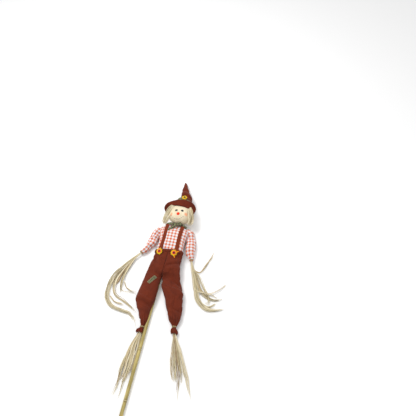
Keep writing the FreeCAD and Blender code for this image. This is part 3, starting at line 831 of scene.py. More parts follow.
TROUSER_FOLDS = {
    "right": [
        ((-50, -86), (4, -104), 2.6, 4, 18), ((-48, -104), (2, -122), -4.2, 9, 7),
        ((-44, -128), (-8, -140), 2.4, 6, 6), ((-48, 20), (8, -4), -2.6, 10, 8),
        ((-49, 6), (-14, -14), 1.6, 5, 9), ((-36, 92), (-30, 40), -1.4, 6, 5),
    ],
    "left": [
        ((12, -30), (100, -54), 3.8, 6, 24), ((10, -2), (92, -20), -5.0, 13, 12),
        ((20, 40), (72, 62), -2.2, 6, 6), ((24, 30), (74, 40), 1.4, 6, 6),
        ((60, -112), (108, -120), -2.0, 8, 6), ((52, 96), (62, 54), -2.0, 6, 5),
        ((64, -134), (100, -150), 1.8, 6, 6),
    ],
}
for side in ("right", "left"):
    rings, u, v = trouser_half(side)
    half = whole("trousers_" + side, rings, u, v)
    dressed(half, TROUSER, None, "trouser_leg_" + side, "leg_stuffing_" + side, slot="trouser_cloth")
    if side == "right":
        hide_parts("trouser_seat", "seat_stuffing")
    points = np.array([point.co for point in half.data.vertices]) * 1000 - ORIGIN * 1000
    x, y = points[:, 0], points[:, 1]
    ends = ease(y, 88, 100) + ease(-y, -LEGS[side][-1][0] - 26, -LEGS[side][-1][0] - 8)
    seam = (1 - ease(abs(x - 8.5), 1.0, 7.0)) * ease(y, -10, 6)
    puff(half, np.clip(ends + seam, 0, 1), 3.4, 0.05)
    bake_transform(half)


# ---- Shirt and its sleeves ----

shirt = bag(SHIRT, 90, 150)
u, v = around(shirt)
u = u - u[:, [75]]
v = SHIRT[0][0] - np.repeat(shirt[:, :1, 1], 151, axis=1)
amount = 1.3 * wave_noise(shirt * [1, 0.5, 1], 24, 7) + 0.6 * wave_noise(shirt, 9, 8)
for x in STRAP_X.values():
    amount = amount - 1.0 * np.exp(-((shirt[:, :, 0] - x) / 7.0) ** 2) * topside(shirt)
for fold in (
    ((-34, 100), (-30, 150), 1.6, 5, 5), ((52, 104), (48, 160), 1.8, 5, 6),
    ((-10, 108), (24, 104), 1.4, 5, 7), ((-40, 170), (-18, 150), -1.6, 5, 5),
    ((60, 176), (40, 156), -1.6, 5, 5), ((0, 196), (20, 150), -0.8, 8, 8),
):
    amount = amount + crease(shirt, *fold) * topside(shirt)
puckers = ease(shirt[:, :, 1], 196, 214)
amount = amount + puckers * 1.6 * np.sin(angles(150) * 17 + 2 * np.sin(angles(150) * 3))
shirt_piece = whole("shirt", rest_on_floor(swell(shirt, amount), 0.6), u, v)
dressed(shirt_piece, GINGHAM, "torso", "shirt_body", "torso_stuffing", slot="gingham")
sewn = 1 - ease(shirt[:, :, 1].ravel(), 104, 124) + ease(shirt[:, :, 1].ravel(), 190, 206)
puff(shirt_piece, np.r_[sewn, 1, 1], 2.2, 0.05, low=0.6)

for side, stations in SLEEVES.items():
    rings, run = limb(stations, 110, 96)
    u, v = around(rings)
    u = u - u[:, [48]]
    total = run[-1]
    angle = angles(96)[None]
    near = ease(run, total - 46, total - 6)[:, None]
    tight = ease(run, total - 16, total)[:, None]
    head = (1 - ease(run, 8, 34))[:, None]
    wander = wave_noise(rings * [1, 0.5, 1], 15, 11)
    amount = np.sin(angle * 9 + wander * 2.5) * (1.9 * near - 1.1 * tight)
    amount = amount + np.sin(angle * 11 + wander * 2) * head * 0.8
    amount = amount + (1 - tight) * (1.8 * wave_noise(rings, 20, 12) + 1.0 * wave_noise(rings, 9, 13))
    swing = 1 if side == "left" else -1
    elbow = rings[52, :, :2].mean(axis=0)
    for dx, dy, depth in ((-16, 6, -3.6), (-12, -12, 2.4), (-14, 26, -2.6), (-10, -26, -2.0)):
        start = elbow + [swing * dx, dy]
        amount = amount + crease(rings, start, start + [swing * 24, -16], depth, 5, 6) * topside(rings)
    sleeve = whole("sleeve_cloth_" + side, rest_on_floor(swell(rings, amount)), u, v)
    dressed(sleeve, GINGHAM, None, "sleeve_" + side, "arm_straw_" + side, slot="gingham")
    sewn = 1 - ease(run, 6, 22) + ease(run, total - 24, total - 8)
    puff(sleeve, np.r_[np.repeat(sewn, 96), 1, 1], 2.8, 0.07)
    start, end = rings[14].mean(axis=0), rings[44].mean(axis=0)
    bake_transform(sleeve)


# ---- Waist hem, straps and stitching ----

def stitches(name, line, length, gap, radius, material, body):
    """Row of short sewn threads along a line."""
    line = np.asarray(line, float)
    run = run_along(line)
    grid = Grid()
    start = gap / 2
    while start + length < run[-1]:
        at = np.linspace(start, start + length, 6)
        path = np.stack([np.interp(at, run, line[:, k]) for k in range(3)], axis=1)
        arch = np.sin(np.linspace(0, pi, 6))
        path[:, 2] += radius * 0.7 * arch
        rings = tube(path, radius * (0.35 + 0.65 * arch**0.5), 7)
        grid.add(rings, *around(rings))
        start += length + gap
    return dressed(grid.object(name), material, body)


def surface_z(rows, x, y):
    """Height of the top of a bag of stations at plan points."""
    rows = np.array(sorted(rows, reverse=True), float)
    x, y = np.asarray(x, float), np.asarray(y, float)
    x_low, x_high, z_low, z_high = steady(-rows[:, 0], rows[:, 1:], -y.ravel()).T
    share = np.clip(abs(x.ravel() - (x_low + x_high) / 2) / ((x_high - x_low) / 2), 0, 0.995)
    top = (z_low + z_high) / 2 + (z_high - z_low) / 2 * (1 - share**SQUARE) ** (1 / SQUARE)
    return top.reshape(y.shape)


def strip_along(line, width, thick, side_way, edge_roll=0.35):
    """Rings of a flat folded band: rounded edges and a slightly crowned face."""
    line = np.asarray(line, float)
    side_way = np.asarray(side_way, float)
    tangent = unit(np.gradient(line, axis=0))
    side = unit(side_way - tangent * (tangent @ side_way)[:, None])
    up = np.cross(side, tangent)
    up *= np.sign(up[:, 2].mean()) or 1.0
    angle = np.linspace(0, tau, 20, endpoint=False)
    c, s = np.cos(angle), np.sin(angle)
    across = width / 2 * np.sign(c) * abs(c) ** 0.45
    high = thick / 2 * np.sign(s) * abs(s) ** 0.8 * (1 - edge_roll * abs(across / (width / 2)) ** 4)
    return line[:, None] + side[:, None] * across[None, :, None] + up[:, None] * high[None, :, None]


for side, x in STRAP_X.items():
    ys = np.linspace(97, 213, 90)
    z = np.max([cloth_top([shirt_piece], x + dx, ys, 40.0) for dx in (-4.5, 0, 4.5)], axis=0) + 0.7
    z = np.where(ys < 112, np.maximum(z, surface_z(SEAT, np.full(90, x), np.full(90, 95.0)) + 2.3), z)
    z = np.convolve(np.pad(z, 4, mode="edge"), np.ones(9) / 9, mode="valid")
    sway = 0.7 * np.sin(ys / 19 + (0 if side == "right" else 2))
    line = np.stack([np.full(90, x) + sway, ys, z], axis=1)
    rings = strip_along(line, 13.2, 1.7, (1, 0, 0))
    rings[:, :, 2] += 0.5 * wave_noise(rings * [1, 0.6, 1], 14, 21)
    strap = whole("strap_" + side, rings)
    dressed(strap, STRAP, "torso", "suspender_" + side, slot="strap_cloth")
    for edge in (-1, 1):
        seam_line = line + [edge * 5.0, 0, 0.95]
        stitches(f"strap_stitching_{side}_{edge + 1}", seam_line, 2.4, 1.6, 0.28, BROWN_THREAD, "torso")


def waist_line(y, grow, count=140):
    """One loop round the trouser waist, sloped as the waist is."""
    _, x_low, x_high, z_low, z_high = SEAT[0]
    angle = angles(count)
    reach = superoval(angle, (x_high - x_low) / 2 + grow, (z_high - z_low) / 2 + grow * 0.75, SQUARE)
    x = (x_low + x_high) / 2 + np.cos(angle) * reach
    z = (z_low + z_high) / 2 + grow * 0.5 + np.sin(angle) * reach
    return np.stack([x, y + WAIST_SLOPE * (x - WAIST_MIDDLE), np.maximum(z, 0.4)], axis=1)


section = [
    (103.8, 0.1), (104.2, 0.9), (103.4, 1.5), (101, 1.4),
    (97.6, 1.3), (95.2, 1.3), (94.2, 0.7), (94.0, 0.1),
]
loops = np.stack([waist_line(y, grow) for y, grow in section], axis=1)
closed = np.concatenate([loops, loops[:1]], axis=0)
hem_u = np.repeat(np.array([[0, 2, 4, 7, 10, 13, 15, 17, 26]], float), len(closed), axis=0)
hem_v = np.repeat(run_along(closed[:, 0])[:, None], 9, axis=1)
hem = Grid()
hem.add(closed, hem_u, hem_v, caps=False)
dressed(hem.object("waist_hem"), TROUSER, "torso", "waistband", slot="trouser_cloth")
hem_seam = waist_line(96.4, 2.0)
upper = hem_seam[hem_seam[:, 2] > 26]
upper = upper[np.argsort(upper[:, 0])]
stitches("waist_stitching", upper, 2.6, 1.8, 0.3, BROWN_THREAD, "torso")
seam_y = np.linspace(93, 6, 60)
seam_x = seam_at(seam_y)
seam_z = surface_z(SEAT, seam_x, seam_y) - 0.9
seat_line = np.stack([seam_x + 3.2, seam_y, seam_z + 0.9], axis=1)
stitches("seat_seam", seat_line, 2.6, 1.8, 0.28, BROWN_THREAD, "torso")


# ---- Sunflower buttons and hat flower ----

def petal_rings(length, width, root, curl, thick, rows=12):
    """One pointed petal lying along +X, cupped along its middle and curled at its tip."""
    t = np.linspace(0, 1, rows)
    half = width / 2 * (np.sin(pi * np.clip(t, 0.02, 1) ** 0.72) ** 0.75) * (1 - 0.25 * t) + 0.12
    along = root + t * (length - root)
    cup = np.array([0.55, 0.12, 0, 0.12, 0.55])
    across = np.array([-1, -0.5, 0, 0.5, 1.0])
    top = np.stack([
        np.repeat(along[:, None], 5, axis=1), half[:, None] * across,
        (curl * t[:, None] ** 2 * length * 0.3) + half[:, None] * cup * 0.5,
    ], axis=2)
    under = top[:, ::-1].copy()
    under[:, :, 2] -= thick
    return np.concatenate([top, under], axis=1)


def turned(points, degrees, axis):
    c, s = cos(radians(degrees)), sin(radians(degrees))
    x, y, z = np.moveaxis(points, -1, 0)
    made = {
        "z": (x * c - y * s, x * s + y * c, z),
        "x": (x, y * c - z * s, y * s + z * c),
        "y": (x * c + z * s, y, -x * s + z * c),
    }[axis]
    return np.stack(made, axis=-1)


def put_flower(points, where):
    """From flat about the origin to its place on the figure."""
    x, y, z, lean, roll = where
    return turned(turned(points, lean, "x"), roll, "y") + [x, y, z]


def flower(name, where, radius, layers, body, nodes):
    """Petals, a felt ring when there are three nodes, and a bead."""
    petals = Grid()
    for layer, (count, reach, lift, curl, first) in enumerate(layers):
        for i in range(count):
            wobble = 1 + 0.07 * sin(i * 2.7 + layer * 1.9)
            rings = petal_rings(radius * reach * wobble, radius * 0.52, radius * 0.18, curl, 0.8)
            rings[:, :, 2] += lift + 0.25 * sin(i * 4.1 + layer)
            rings = turned(rings, 360 / count * i + first, "z")
            petals.add(put_flower(rings, where), *around(rings))
    dressed(petals.object(name + "_petals"), PETAL_FELT, body, nodes[0], slot="petal_felt")
    t = np.linspace(0, tau, 40, endpoint=False)
    if len(nodes) == 3:
        outline = []
        ring_section = (
            (0.24, 1.2), (0.26, 2.7), (0.36, 3.1), (0.48, 2.7), (0.53, 2.0), (0.50, 1.4), (0.3, 1.1),
        )
        for r, z in ring_section:
            ripple = 1 + 0.04 * np.sin(t * 9)
            reach = radius * r * ripple
            outline.append(np.stack([np.cos(t) * reach, np.sin(t) * reach, z + 0 * t], axis=1))
        rings = put_flower(np.stack(outline), where)
        ring = Grid()
        ring.add(rings, *around(rings))
        dressed(ring.object(name + "_ring"), RING_FELT, body, nodes[1], slot="ring_felt")
    bead = Grid()
    tiny = radius * 0.27 if len(nodes) == 3 else radius * 0.33
    outline = []
    for k in range(9):
        tilt = pi / 2 * k / 8.6
        dimple = 1 + 0.05 * np.sin(t * 7 + k * 2.1)
        outline.append(np.stack([
            np.cos(t) * tiny * cos(tilt) * dimple, np.sin(t) * tiny * cos(tilt) * dimple,
            2.2 + tiny * 1.05 * sin(tilt) + 0 * t,
        ], axis=1))
    rings = put_flower(np.stack(outline), where)
    bead.add(rings, *around(rings))
    dressed(bead.object(name + "_bead"), BEAD, body, nodes[-1], slot="seed_bead")


BUTTON_LAYERS = [(13, 1.0, 0.0, 0.10, 0), (11, 0.84, 1.0, 0.22, 14)]
for side, (x, y, roll) in FLOWERS.items():
    z = float(surface_z(SEAT, [x], [y])[0]) + 6.2
    names = [f"sunflower_{part}_{side}" for part in ("petals", "ring", "centre")]
    flower("sunflower_" + side, (x, y, z, FLOWER_LEAN, roll), 12.8, BUTTON_LAYERS, "torso", names)

leaves = Grid()
x, y, roll = FLOWERS["left"]
z = float(surface_z(SEAT, [x], [y])[0]) + 5.0
for degrees, length in ((32, 21.0), (-68, 19.0)):
    rings = turned(petal_rings(length, 8.0, 2.0, 0.06, 0.9, rows=18), degrees, "z")
    rings = put_flower(rings, (x, y, z, FLOWER_LEAN, roll))
    leaves.add(rings, *around(rings))
dressed(leaves.object("felt_leaves"), LEAF_FELT, "torso", "leaf_pair_left", slot="leaf_felt")


# ---- Head, face and neck ----

HEAD_SQUARE = 2.6


def head_share(x, y):
    """How far out a plan point is on the head, 0 in the middle and 1 at its outline, squared."""
    return (abs(x) ** HEAD_SQUARE + abs(y) ** HEAD_SQUARE) ** (2 / HEAD_SQUARE)


def on_face(x, y, lift=0.0):
    """Height of the face at plan points."""
    across = (np.asarray(x) - HEAD_CENTRE[0]) / HEAD_HALF[0]
    along = (np.asarray(y) - HEAD_CENTRE[1]) / HEAD_HALF[1]
    return HEAD_CENTRE[2] + HEAD_HALF[2] * np.sqrt(np.clip(1 - head_share(across, along), 0, 1)) + lift


lat = np.linspace(-pi / 2 + 0.03, pi / 2 - 0.03, 80)
lon = angles(128)
height = np.repeat(np.sin(lat)[:, None], 128, axis=1)
low, high = np.zeros_like(height), np.ones_like(height) * 1.2
for _ in range(24):
    mid = (low + high) / 2
    inside = head_share(mid * np.cos(lon), height) + (mid * np.sin(lon)) ** 2 < 1
    low, high = np.where(inside, mid, low), np.where(inside, high, mid)
rings = HEAD_CENTRE + HEAD_HALF * np.stack([low * np.cos(lon), height, low * np.sin(lon)], axis=2)
face_flat = ease(rings[:, :, 2], 60, 72) * (1 - ease(abs(rings[:, :, 0] - HEAD_CENTRE[0]), 26, 40))
amount = (1 - face_flat) * (0.9 * wave_noise(rings, 17, 31) + 0.4 * wave_noise(rings, 8, 32))
amount = amount + 0.25 * wave_noise(rings, 20, 33)
chin_gather = 1 - ease(rings[:, :, 1], 226, 238)
amount = amount + chin_gather * 0.8 * np.sin(np.repeat(lon[None], 80, axis=0) * 15)
seam_dip = np.exp(-(np.sin(lon) * HEAD_HALF[2] / 3.0) ** 2)[None] * 0.8
u = np.repeat(np.concatenate([lon, [lon[0] + tau]])[None], 80, axis=0) * 40
v = np.repeat((lat * 42)[:, None], 129, axis=1)
head = whole("head_bag", rest_on_floor(swell(rings, amount - seam_dip), 3.0), u, v)
dressed(head, FACE, "head", "head_cover", "head_stuffing", slot="muslin")

NECK = [
    (10, 212, 18, 13, 9.5), (10, 222, 18, 14, 10.5), (12, 232, 24, 16, 13), (13, 240, 28, 17, 14),
]
neck, run = limb(NECK, 26, 72)
neck = swell(neck, 1.0 * np.sin(angles(72) * 13)[None] * np.ones((26, 1)))
dressed(whole("neck_folds", neck), MUSLIN, "head", "neck_gather", slot="muslin")


def dome(name, x, y, half_x, half_y, high, turn, material, node, slot):
    """Raised oval on the face, its rim tucked onto the cloth."""
    t = np.linspace(0, tau, 48, endpoint=False)
    loops = []
    for k in range(11):
        share = cos(pi / 2 * k / 10.4)
        lift = -0.5 if k == 0 else high * sin(pi / 2 * k / 10.4) ** 0.8
        px, py = np.cos(t) * half_x * share, np.sin(t) * half_y * share
        c, s = cos(radians(turn)), sin(radians(turn))
        at_x, at_y = x + px * c - py * s, y + px * s + py * c
        loops.append(np.stack([at_x, at_y, on_face(at_x, at_y, lift)], axis=1))
    rings = np.stack(loops)
    return dressed(whole(name, rings), material, "head", node, slot=slot)


dome("eye_paint_right", 2.5, 263.5, 5.6, 4.3, 1.1, 14, EYE, "eye_right", "eye_black")
dome("eye_paint_left", 25.5, 265.5, 5.6, 4.3, 1.1, -4, EYE, "eye_left", "eye_black")
dome("nose_pad", 12.0, 250.5, 6.2, 5.2, 2.6, 12, NOSE_FELT, "nose", "nose_red")
SMILE = [
    (-14.5, 245.0), (-9, 238.6), (0, 234.4), (11.4, 233.0), (22, 235.2), (31, 241.5), (37.5, 251.0),
]
smile = line_through(SMILE, 0.6)
smile = np.stack([smile[:, 0], smile[:, 1], on_face(smile[:, 0], smile[:, 1], 0.35)], axis=1)
stitches("smile_stitches", smile, 4.0, 3.6, 0.85, DARK_THREAD, "head")


# ---- Hat ----

HAT = [
    (14, 286, 38.4, 46, 36), (15, 298, 38.2, 42, 33.2), (16.5, 309, 38.2, 36.5, 29.2),
    (18.5, 322, 37.8, 31.5, 24.8), (21, 344, 36, 25.5, 18), (13.5, 370, 31, 17.5, 13.5),
    (5.5, 400, 22, 12, 10), (0, 426, 14, 6.5, 6.5), (-5.5, 443, 8.5, 2.2, 2.4),
]
cone, _ = limb(HAT, 150, 120)
y = cone[:, :, 1]
loose = ease(y, 330, 365)
amount = (0.8 + 1.0 * loose) * wave_noise(cone, 26, 41) + (0.4 + 0.5 * loose) * wave_noise(cone, 11, 42)
for fold in (
    ((-2, 352), (44, 346), -3.4, 7, 6), ((-4, 372), (34, 358), 2.2, 6, 7),
    ((-8, 388), (24, 378), -2.2, 6, 6), ((30, 300), (22, 344), -1.2, 6, 6),
    ((-12, 306), (2, 340), 1.2, 6, 6), ((-4, 412), (14, 406), -1.2, 5, 5),
):
    amount = amount + crease(cone, *fold) * topside(cone)
cone = swell(cone, amount * ease(445 - y, 0, 12) * ease(y, 287, 302) + 1.6 * (1 - ease(y, 286, 292)))
hat = whole("hat_cone", rest_on_floor(cone, 1.0))
dressed(hat, HAT_FELT, None, "hat_crown", "hat_tip", slot="hat_felt")
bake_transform(hat)


def wrapped(name, source, profile, material, body, node, slot, ripple=0.25):
    """A band round rings of the cone; profile is (share along the source, height) pairs."""
    normals = outward(source)
    rows = np.array(profile, float)
    at = rows[:, 0] * (len(source) - 1)
    low = np.clip(at.astype(int), 0, len(source) - 2)
    part = (at - low)[:, None, None]
    base = source[low] * (1 - part) + source[low + 1] * part
    away = normals[low] * (1 - part) + normals[low + 1] * part
    loops = base + away * rows[:, 1][:, None, None]
    loops = loops + away * (ripple * wave_noise(base, 9, 51))[:, :, None]
    section = np.swapaxes(loops, 0, 1)
    closed = np.concatenate([section, section[:1]], axis=0)
    u, _ = around(closed)
    across = run_along(closed[:, 0])
    grid = Grid()
    grid.add(closed, u, np.repeat(across[:, None], closed.shape[1] + 1, axis=1), caps=False)
    return dressed(grid.object(name), material, body, node, slot=slot)


band_rows = (y.mean(axis=1) > 313.5) & (y.mean(axis=1) < 331)
band_source = cone[band_rows]
wrapped(
    "plaid_ribbon", band_source,
    [
        (0, 0.0), (0.02, 0.9), (0.08, 1.3), (0.3, 1.0), (0.5, 1.1), (0.7, 1.0),
        (0.92, 1.3), (0.98, 0.9), (1, 0.0),
    ],
    PLAID, "head", "hat_band", "plaid",
)

BRIM_SIDES = 144


def brim_point(angle, reach, lift):
    """reach runs from 0 at the crown to 1 at the rim; lift is along the cane."""
    s, c = np.sin(angle), np.cos(angle)
    inner = np.stack([14 + 46.8 * s, 286 + 0 * s, 38.2 + 37.0 * c], axis=-1)
    rim_y = 262 + 47 * (0.5 + 0.5 * c) ** 0.7 + 9 * s
    rim = np.stack([9 + 63 * s, rim_y, 41 + np.where(c > 0, 37, 39.9) * c], axis=-1)
    place = inner + (rim - inner) * reach
    sag = 1.4 * np.sin(angle * 3 + 0.6) * reach**2 + 0.7 * np.sin(angle * 7 + 2) * reach**2
    place[..., 1] += lift + sag
    return place


turn = np.linspace(0, tau, BRIM_SIDES, endpoint=False)
brim_section = [(k / 12, 0.0) for k in range(13)]
brim_section += [(1.006, 0.6), (1.008, 1.3)]
brim_section += [(k / 12, 1.9) for k in range(12, -1, -1)]
brim = np.stack([brim_point(turn, reach, lift) for reach, lift in brim_section], axis=1)
brim = brim + [0, 0.5, 0] * wave_noise(brim * [1, 0, 1], 16, 44)[:, :, None]
brim = rest_on_floor(brim, 0.8)
closed = np.concatenate([brim, brim[:1]], axis=0)
grid = Grid()
grid.add(closed, *around(closed), caps=False)
dressed(grid.object("felt_brim"), HAT_FELT, "head", "hat_brim", slot="hat_felt")
rim_seam = np.concatenate([brim[:, 11], brim[:1, 11]]) + [0, -0.3, 0]
stitches("brim_stitching", rim_seam, 3.0, 2.2, 0.32, BROWN_THREAD, "head")

HAT_FLOWER_LAYERS = [(12, 1.0, 0.0, 0.14, 0), (10, 0.72, 0.9, 0.30, 18)]
names = ["hat_flower_petals", "hat_flower_centre"]
flower("hat_flower", (19, 331, 66.6, -12, 0), 11.0, HAT_FLOWER_LAYERS, "head", names)


# ---- Neckerchief ----

path = np.linspace(0, tau, 150, endpoint=False)
section = np.linspace(0, tau, 28, endpoint=False)
radius_x, radius_z = 39.5, 18.9
centre = np.stack([9.5 + radius_x * np.cos(path), 219 + 0 * path, 22.3 + radius_z * np.sin(path)], axis=1)
away = np.stack([np.cos(path) / radius_x, 0 * path, np.sin(path) / radius_z], axis=1)
away = unit(away)
wide_folds = 0.15 * np.sin(3 * section[None] + 3 * path[:, None])
fine_folds = 0.08 * np.sin(5 * section[None] - 4 * path[:, None])
folds = 1 + wide_folds + fine_folds
out = 2.7 * np.cos(section) * folds
fore = 5.1 * np.sin(section) * folds
ring = centre[:, None] + away[:, None] * out[:, :, None] + np.array([0, 1.0, 0]) * fore[:, :, None]
ring = ring + away[:, None] * (0.6 * wave_noise(ring, 12, 61))[:, :, None]
ring = rest_on_floor(ring, 0.5)
closed = np.concatenate([ring, ring[:1]], axis=0)
grid = Grid()
u, v = around(closed)
v = np.repeat((np.r_[path, tau] * 31)[:, None], 29, axis=1)
grid.add(closed, u, v, caps=False)
dressed(grid.object("kerchief_roll"), PLAID, "torso", "neckerchief_band", slot="plaid")

lon = np.linspace(0, tau, 56, endpoint=False)
lat = np.linspace(-pi / 2 + 0.05, pi / 2 - 0.05, 30)
knot = np.stack([
    24 + 9.4 * np.sin(lat)[:, None] + 0 * lon[None],
    219 + 6.8 * np.cos(lat)[:, None] * np.cos(lon),
    46.0 + 5.4 * np.cos(lat)[:, None] * np.sin(lon),
], axis=2)
pinch = 0.9 * np.sin(3 * lon[None] + 2.2 * lat[:, None])
pinch = pinch + 0.5 * np.sin(5 * lon[None] - 3 * lat[:, None])
knot = swell(knot, pinch * np.cos(lat)[:, None])
dressed(whole("kerchief_knot", knot), PLAID, "torso", "neckerchief_knot", slot="plaid")

TAIL_LINE = [(20, 217, 48.9), (13, 212, 48.4), (6, 206, 47.6), (-5, 194, 47.0), (-13, 184, 46.6)]
tail_line = line_through(TAIL_LINE, 0.8)
tail_line[:, 2] += 0.7 * np.sin(np.linspace(0, 7, len(tail_line)))
tail_rings = strip_along(tail_line, 10.0, 0.9, (0.75, -0.66, 0.0))
widths = steady([0, 0.3, 0.8, 1.0], [[0.55], [0.95], [1.15], [0.72]], np.linspace(0, 1, len(tail_line)))
middle = tail_rings.mean(axis=1)[:, None]
tail_rings[:, :, :2] = middle[:, :, :2] + (tail_rings - middle)[:, :, :2] * widths[:, None]
tail_rings[:, :, 2] += 0.45 * wave_noise(tail_rings * [1, 1, 0], 7, 63)
tail = dressed(whole("kerchief_tail", tail_rings), PLAID, "torso", "neckerchief_tails", slot="plaid")


# ---- Patch on the thigh ----

PATCH = (-21.0, -23.0, 12.5, 36.0, -34.0)
px, py, patch_width, patch_length, patch_turn = PATCH
across = np.linspace(-0.5, 0.5, 15)
down = np.linspace(0.5, -0.5, 34)
local_x, local_y = np.meshgrid(across * patch_width, down * patch_length)
local_x = local_x + 0.5 * np.sin(local_y / 4.7)
c, s = cos(radians(patch_turn)), sin(radians(patch_turn))
plan_x, plan_y = px + local_x * c - local_y * s, py + local_x * s + local_y * c
thigh = bpy.data.objects["trousers_right"]
skin_z = cloth_top([thigh], plan_x, plan_y, 30.0)
edge = np.maximum(abs(local_x) / (patch_width / 2), abs(local_y) / (patch_length / 2))
top = np.stack([plan_x, plan_y, skin_z + 1.25 - 0.5 * ease(edge, 0.86, 1.0)], axis=2)
under = top[:, ::-1].copy()
under[:, :, 2] = skin_z[:, ::-1] + 0.1
rings = np.concatenate([top, under], axis=1)
u = np.concatenate([local_x, local_x[:, ::-1], local_x[:, :1]], axis=1) * 1.6 + 43
v = np.concatenate([local_y, local_y, local_y[:, :1]], axis=1) * 1.6 + 40
patch = whole("thigh_patch_cloth", rings, u, v)
dressed(patch, PLAID, None, "thigh_patch", slot="plaid")
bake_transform(patch)

grid = Grid()
corners = np.array([(-0.5, 0.5), (0.5, 0.5), (0.5, -0.5), (-0.5, -0.5), (-0.5, 0.5)])
corners = corners * [patch_width, patch_length]
for a, b in zip(corners[:-1], corners[1:]):
    span = np.linalg.norm(b - a)
    way = (b - a) / span
    inward = np.array([way[1], -way[0]])
    for at in np.arange(1.6, span - 0.8, 3.1):
        across_edge = np.outer([-0.6, 0.0, 1.0, 2.2, 3.0], inward)
        along_edge = np.outer([0.5, 0.4, 0.1, -0.4, -0.7], way)
        ends = a + way * at + across_edge + along_edge
        x, y = px + ends[:, 0] * c - ends[:, 1] * s, py + ends[:, 0] * s + ends[:, 1] * c
        z = cloth_top([thigh, patch], x, y, 30.0) + [0.0, 0.7, 0.75, 0.6, -0.1]
        rings = tube(np.stack([x, y, z], axis=1), [0.25, 0.45, 0.5, 0.45, 0.25], 7)
        grid.add(rings, *around(rings))
patch_thread = dressed(grid.object("patch_stitches"), PALE_THREAD, None)
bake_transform(patch_thread)


# ---- Ties and frills at the wrists and ankles ----

def coil(name, centre, way, radius, turns, pitch, wire, material, body, node, slot):
    """Thread wound round a limb, with its two ends knotted on top."""
    centre, way = np.asarray(centre, float), np.asarray(way, float)
    way = way / np.linalg.norm(way)
    side = np.cross(way, [0, 0, 1.0])
    side /= np.linalg.norm(side)
    up = np.cross(side, way)
    t = np.linspace(0, turns * tau, int(turns * 44))
    wobble = 1 + 0.03 * np.sin(t * 2.3)
    line = centre + way * ((t / tau - turns / 2) * pitch)[:, None]
    line = line + (side * np.sin(t)[:, None] + up * np.cos(t)[:, None]) * (radius * wobble)[:, None]
    grid = Grid()
    rings = tube(line, np.full(len(t), wire), 9)
    grid.add(rings, *around(rings))
    for swing in (-1, 1):
        tail = line_through([
            centre + up * (radius + 0.2) + side * swing * 0.4,
            centre + up * (radius + 1.6) + side * swing * 2.0,
            centre + up * (radius + 1.2) + side * swing * 5.0 - way * 1.5 * swing,
            centre + up * (radius - 1.2) + side * swing * 7.6 + way * 2.0,
        ], 0.5)
        rings = tube(tail, np.linspace(wire * 1.1, wire * 0.6, len(tail)), 8)
        grid.add(rings, *around(rings))
    return dressed(grid.object(name), material, body, node, slot=slot)


for side, stations in SLEEVES.items():
    before, wrist = np.array(stations, float)[-2:, :3]
    way = (wrist - before) * [1, 1, 0]
    way /= np.linalg.norm(way)
    coil("wrist_thread_" + side, wrist - way * 2.2, way, 6.9, 3.2, 1.5, 0.75, TIE, "arm_" + side,
         "wrist_tie_" + side, "raffia_tie")

FRILLS = {
    "right": [
        (-194.8, -18.2, -6.9, 5.8, 17.2), (-197.5, -19.5, -7.6, 5.2, 17.8), (-201, -24.5, -7.8, 3.0, 19.5),
        (-208, -29, -7.8, 1.0, 20), (-213.5, -27.5, -8.5, 1.5, 19),
    ],
    "left": [
        (-173.8, 91.0, 102.9, 5.8, 17.2), (-176.5, 90.4, 104.0, 5.2, 17.8), (-181, 88.5, 108, 3.0, 19.5),
        (-189, 89.5, 112.5, 1.0, 20), (-194.5, 92, 112.5, 2.0, 19),
    ],
}
for side, stations in FRILLS.items():
    outer = bag(stations, 34, 110, 2.0)
    flare = np.linspace(0, 1, 34)[:, None]
    angle = angles(110)[None]
    ruffle = np.sin(angle * 9 + 0.8 * np.sin(angle * 2) + flare * 0.8)
    outer = swell(outer, 0.3 + ruffle * (0.5 + 1.6 * flare) + 0.3 * wave_noise(outer, 8, 71))
    outer[:, :, 1] += 1.6 * flare * np.sin(angle * 5 + 1)
    middle = outer.mean(axis=1)[:, None]
    inner = swell(outer, np.full(outer.shape[:2], -0.9))[::-1]
    inner = middle[::-1] + (inner - middle[::-1]) * [0.985, 1, 0.985]
    rings = rest_on_floor(np.concatenate([outer, inner]), 0.5)
    u, v = around(outer)
    u, v = np.concatenate([u, u[::-1]]), np.concatenate([v, v[::-1]])
    frill = whole("ankle_ruffle_" + side, rings, u, v)
    dressed(frill, TROUSER, "foot_" + side, "ankle_frill_" + side, slot="trouser_cloth")

ANKLES = {"right": (-12.6, -192.6, 11.5, 0.13), "left": (96.3, -171.4, 11.5, 0.30)}
for side, (x, y, z, slope) in ANKLES.items():
    coil("ankle_thread_" + side, (x, y, z), (slope, -1, 0), 7.2, 3.2, 1.5, 0.75, TIE, "leg_" + side,
         "ankle_tie_" + side, "raffia_tie")


# ---- Raffia: hands, feet and hair ----

def strand(line, width, thick, twist, phase, fold):
    """Rings of one folded palm strip: a shallow V of six points that tapers and turns."""
    count = len(line)
    t = np.linspace(0, 1, count)
    side, up = sides_of(line)
    angle = phase + twist * t
    c, s = np.cos(angle)[:, None], np.sin(angle)[:, None]
    side, up = side * c + up * s, up * c - side * s
    half = width / 2 * np.clip(np.minimum(t * 9 + 0.55, (1 - t) * 7 + 0.10), 0, 1)
    across = np.array([-1, 0, 1, 1, 0, -1])[None] * half[:, None]
    ridge = np.array([0, 1, 0, 0, 1, 0])[None] * (half * fold)[:, None]
    skin = np.array([0.5, 0.5, 0.5, -0.5, -0.5, -0.5])[None] * thick
    return line[:, None] + side[:, None] * across[:, :, None] + up[:, None] * (ridge + skin)[:, :, None]


